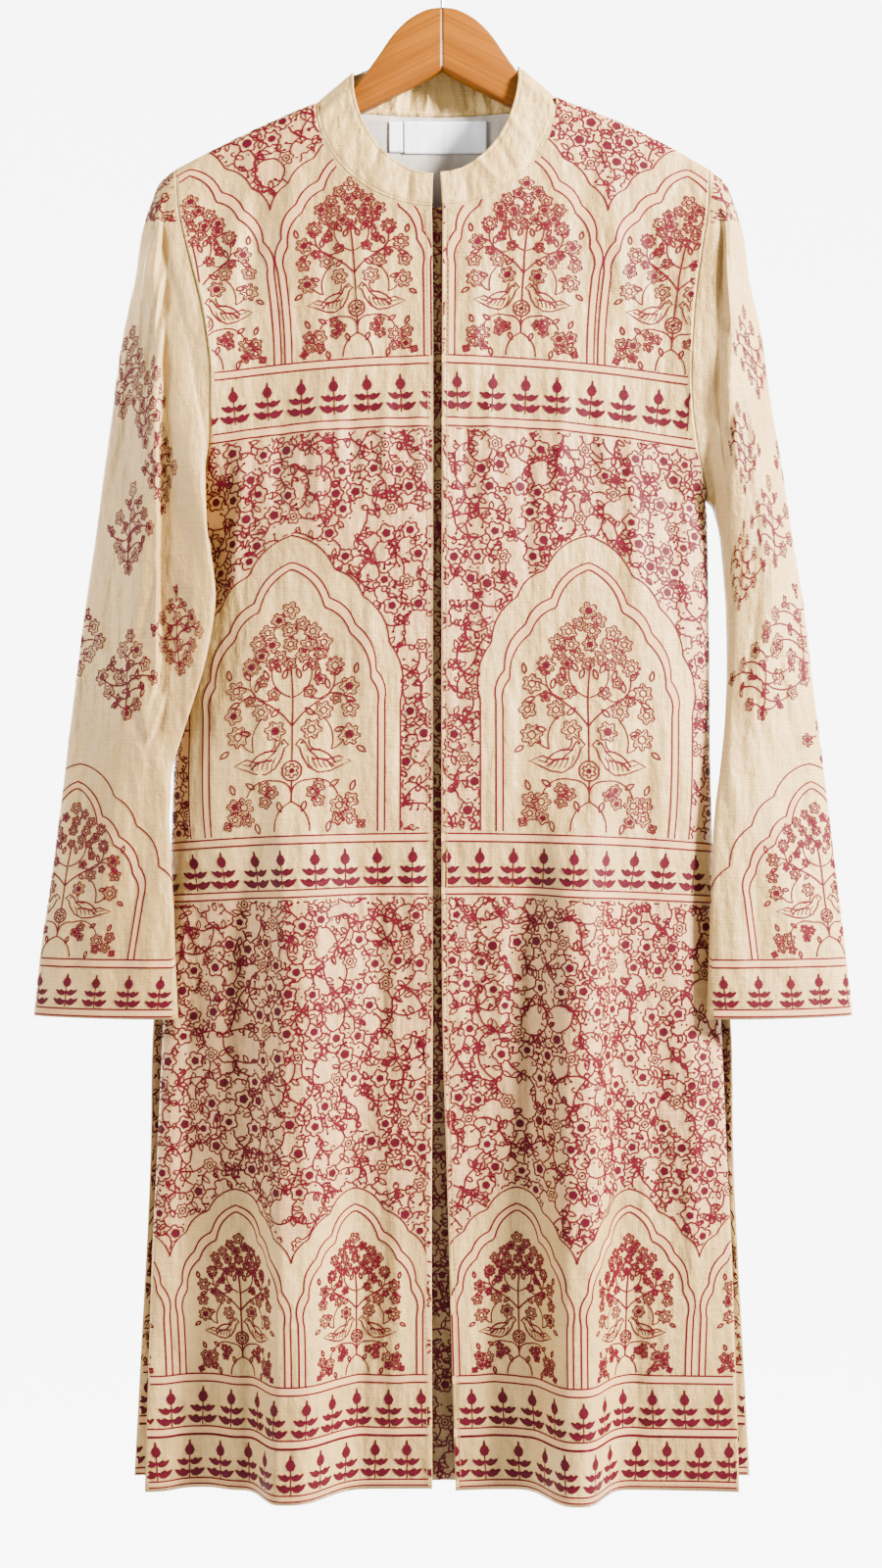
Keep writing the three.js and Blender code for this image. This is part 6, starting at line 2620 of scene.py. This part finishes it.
@dataclass
class Kurta:
    """The whole garment on its hanger: makes each piece, ties it to the body and hides the solid it stands
    for.
    """

    form: BodyForm = field(default_factory=BodyForm)
    hidden_posies: tuple[tuple[float, float], ...] = (
        (-30, -420), (-72, -490), (-34, -640), (-84, -370), (-104, -590))
    through_lifts: tuple[tuple[Ink, float], ...] = ((Ink.GROUND, -1.12), (Ink.LINE, -1.24), (Ink.BUD, -1.28))

    def __post_init__(self) -> None:
        """Make the finishes."""
        self.silk = SilkFinish("printed_silk", ground=(0.325, 0.172, 0.06)).make()
        self.plain_silk = SilkFinish("plain_silk", (0.4, 0.245, 0.072), (0.29, 0.17, 0.042), slub=0.2,
                                     crumple=0.009).make()
        self.inks = {
            Ink.GROUND: InkFinish("pale_ground", (0.35, 0.193, 0.079), (0.3, 0.162, 0.062)).make(),
            Ink.LINE: InkFinish("maroon_line", (0.045, 0.0, 0.003), (0.07, 0.0005, 0.006)).make(),
            Ink.BUD: InkFinish("maroon_solid", (0.032, 0.0, 0.0025), (0.05, 0.0, 0.005)).make(),
            Ink.THREAD: InkFinish("sewing_thread", (0.2, 0.115, 0.035), (0.26, 0.155, 0.05)).make(),
        }

    def join(self, piece: bpy.types.Object, slot: str, node: str | None = None) -> bpy.types.Object:
        """Tie a piece to the body and hide the solid it stands for.

        Args:
            piece: the object.
            slot: not used.
            node: the solid it stands for, if any.

        Returns:
            The same object.
        """
        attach(piece, BODY)
        if node:
            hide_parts(node)
        LOG.info("%s: %d faces", piece.name, len(piece.data.polygons))
        return piece

    def mark_flowered(
        self, piece: bpy.types.Object, s: Array, h: Array, plan: PrintPlan | SleevePlan
    ) -> None:
        """Store how much of each point lies in the flowered ground.

        Args:
            piece: a panel's object.
            s: distances of its points across the cloth.
            h: their heights.
            plan: the panel's print.
        """
        share = plan.flowered(np.stack([s, h], axis=-1)).astype(float).ravel()
        mark = piece.data.attributes.new("flowered", "FLOAT", "POINT")
        mark.data.foreach_set("value", np.concatenate([share, share]))

    def body(self) -> tuple[BodyPanel, BodyPanel, BodyPanel]:
        """Make the fronts and the back with their print.

        Returns:
            The right front, the left front and the back.
        """
        form = self.form
        panels = (
            BodyPanel("front_right_cloth", Face.FRONT, form, Side.RIGHT),
            BodyPanel("front_left_cloth", Face.FRONT, form, Side.LEFT),
            BodyPanel("back_cloth", Face.BACK, form, column_step=4.0),
        )
        plans = (
            PrintPlan((58.5, 175.5), (110.0,), (60.0, 172.0, 284.0), (0.0, 16.8, 8.0), 0.0, 280.0, 11),
            PrintPlan((61.4, 178.4), (115.0,), (54.0, 166.0, 278.0), (13.0, 29.2, 14.0), 0.0, 280.0, 12),
            PrintPlan((-175.5, -58.5, 58.5, 175.5), (-100.0, 100.0), (-224.0, -112.0, 0.0, 112.0, 224.0),
                      (0.0, 12.0, 8.0), -285.0, 285.0, 13, trellis=22.0,
                      sewn=(((-280.0, -1220.8), (280.0, -1220.8)),)),
        )
        cuts = (
            ("front_right", (0.257, 1.06), 0.225),
            ("front_left", (0.257, 1.06), 0.23),
            ("back", (0.53, 1.1), 0.5),
        )
        for panel, plan, (node, flat, area) in zip(panels, plans, cuts):
            piece = self.join(panel.build(self.silk), "printed_silk", node)
            s = panel.cloth_of_points()
            h = panel.row_heights
            self.mark_flowered(piece, s - plan.fan(s, h), h + plan.droop(s, h), plan)
            pen = Pen()
            plan.draw(pen)
            layer = PrintedLayer(f"{node}_print", panel).build(pen, self.inks, plan)
            self.join(layer, "printed_silk")
            if panel.face is Face.BACK:
                through = PrintedLayer("back_print_through", panel, self.through_lifts, 205.0)
                self.join(through.build(pen, self.inks, plan), "printed_silk")
        return panels

    def sleeves(self) -> None:
        """Make both sleeves with their print."""
        left_creases = tuple(
            c._replace(x=c.x * 0.94 + 4, top=c.top - 14, bottom=c.bottom - 9, lean=-0.6 * c.lean)
            for c in SLEEVE_CREASES)
        for sleeve, plan, node in (
            (Sleeve("sleeve_right_cloth", Side.RIGHT, self.form, RIGHT_RINGS, -560, -680,
                    creases=SLEEVE_CREASES),
             SleevePlan(((18, -350), (68, -378), (51, -476), (100, -430), (59, -591), (120, -556), (-6, -562),
                              *self.hidden_posies), 31), "sleeve_right"),
            (Sleeve("sleeve_left_cloth", Side.LEFT, self.form, LEFT_RINGS, -400, -490,
                    creases=left_creases),
             SleevePlan(((45, -338), (41, -470), (112, -415), (61, -591), (116, -505), (12, -553),
                              *self.hidden_posies), 32, posy_width=122.0), "sleeve_left"),
        ):
            piece = self.join(sleeve.build(self.silk), "printed_silk", node)
            pen = Pen()
            plan.draw(pen)
            layer = self.join(PrintedLayer(f"{node}_print", sleeve).build(pen, self.inks), "printed_silk")

    def neck(self, panels: tuple[BodyPanel, BodyPanel, BodyPanel]) -> None:
        """Make the collar, the strip under the opening, the lining and the labels.

        Args:
            panels: the fronts and the back.
        """
        form = self.form
        collar = BandCollar(form, (panels[0], panels[2], panels[1]))
        band = self.join(collar.build(self.plain_silk), "plain_silk", "collar")
        strip = UnderPlacket("under_placket_cloth", form)
        # Painted shade: the strip's silk is a darker copy of the printed silk, standing for the shade under
        # the fronts' edges.
        shaded = SilkFinish("printed_silk_painted_shade", (0.2, 0.115, 0.03), (0.13, 0.07, 0.015)).make()
        piece = self.join(strip.build(shaded), "printed_silk", "under_placket")
        pen = Pen()
        PlacketPlan().draw(pen)
        layer = self.join(PrintedLayer("under_placket_print", strip).build(pen, self.inks), "printed_silk")
        cotton = ClothFinish(
            "lining", (0.34, 0.29, 0.24), (0.25, 0.21, 0.17), 0.75, (1500, 1500, 1500)).make()
        satin = ClothFinish(
            "label_satin", (0.6, 0.6, 0.62), (0.54, 0.54, 0.57), 0.45, (300, 300, 2600)).make()
        for name, node, slot, material, sheet, flat in (
            ("back_lining_cloth", "back_lining", "lining", cotton,
             InsideBack("back_lining_cloth", form, -150, 150, None, -330, 1.9, 0.9, 91, 36, 0.9),
             (0.3, 0.185)),
            ("neck_label_cloth", "neck_label", "label_satin", satin,
             InsideBack("neck_label_cloth", form, -31, 36, -147, -172, 3.6, 0.7, 40, 14, 0.0),
             (0.067, 0.025)),
            ("size_tab_cloth", "size_tab", "label_satin", satin,
             InsideBack("size_tab_cloth", form, -42.5, -31.4, -147.5, -171, 3.6, 0.7, 10, 14, 0.0),
             (0.011, 0.0235)),
        ):
            piece = self.join(sheet.build(material), slot, node)

    def hanger(self) -> None:
        """Make the wooden hanger and its hook."""
        wood = WoodFinish("hanger_wood").make()
        hanger = Hanger(self.form)
        for side, node in ((-1, "hanger_arm_right"), (1, "hanger_arm_left")):
            self.join(hanger.arm(side, f"{node}_wood", wood), "hanger_wood", node)
        joint = np.array([(x, y, z) for x in (-0.12, 0.12) for y in (-5.3, 5.3) for z in (-110.0, -62.4)])
        sides = [(0, 1, 3, 2), (4, 6, 7, 5), (0, 4, 5, 1), (2, 3, 7, 6), (0, 2, 6, 4), (1, 5, 7, 3)]
        # Painted shadow: a dark sheet in the seam between the two arms.
        dark = InkFinish("joint_shadow", (0.05, 0.02, 0.006), (0.08, 0.03, 0.01)).make()
        self.join(add_object("hanger_joint", joint, sides, dark, smooth=False), "hanger_wood")
        self.join(hanger.hook(SteelFinish("hook_steel").make()), "hook_steel", "hanger_hook")


def main() -> None:
    """Build the kurta, piece by piece."""
    logging.basicConfig(level=logging.INFO, format="%(message)s")
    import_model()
    Studio().build()
    kurta = Kurta()
    panels = kurta.body()
    kurta.sleeves()
    kurta.neck(panels)
    kurta.hanger()


if __name__ == "__main__":
    main()
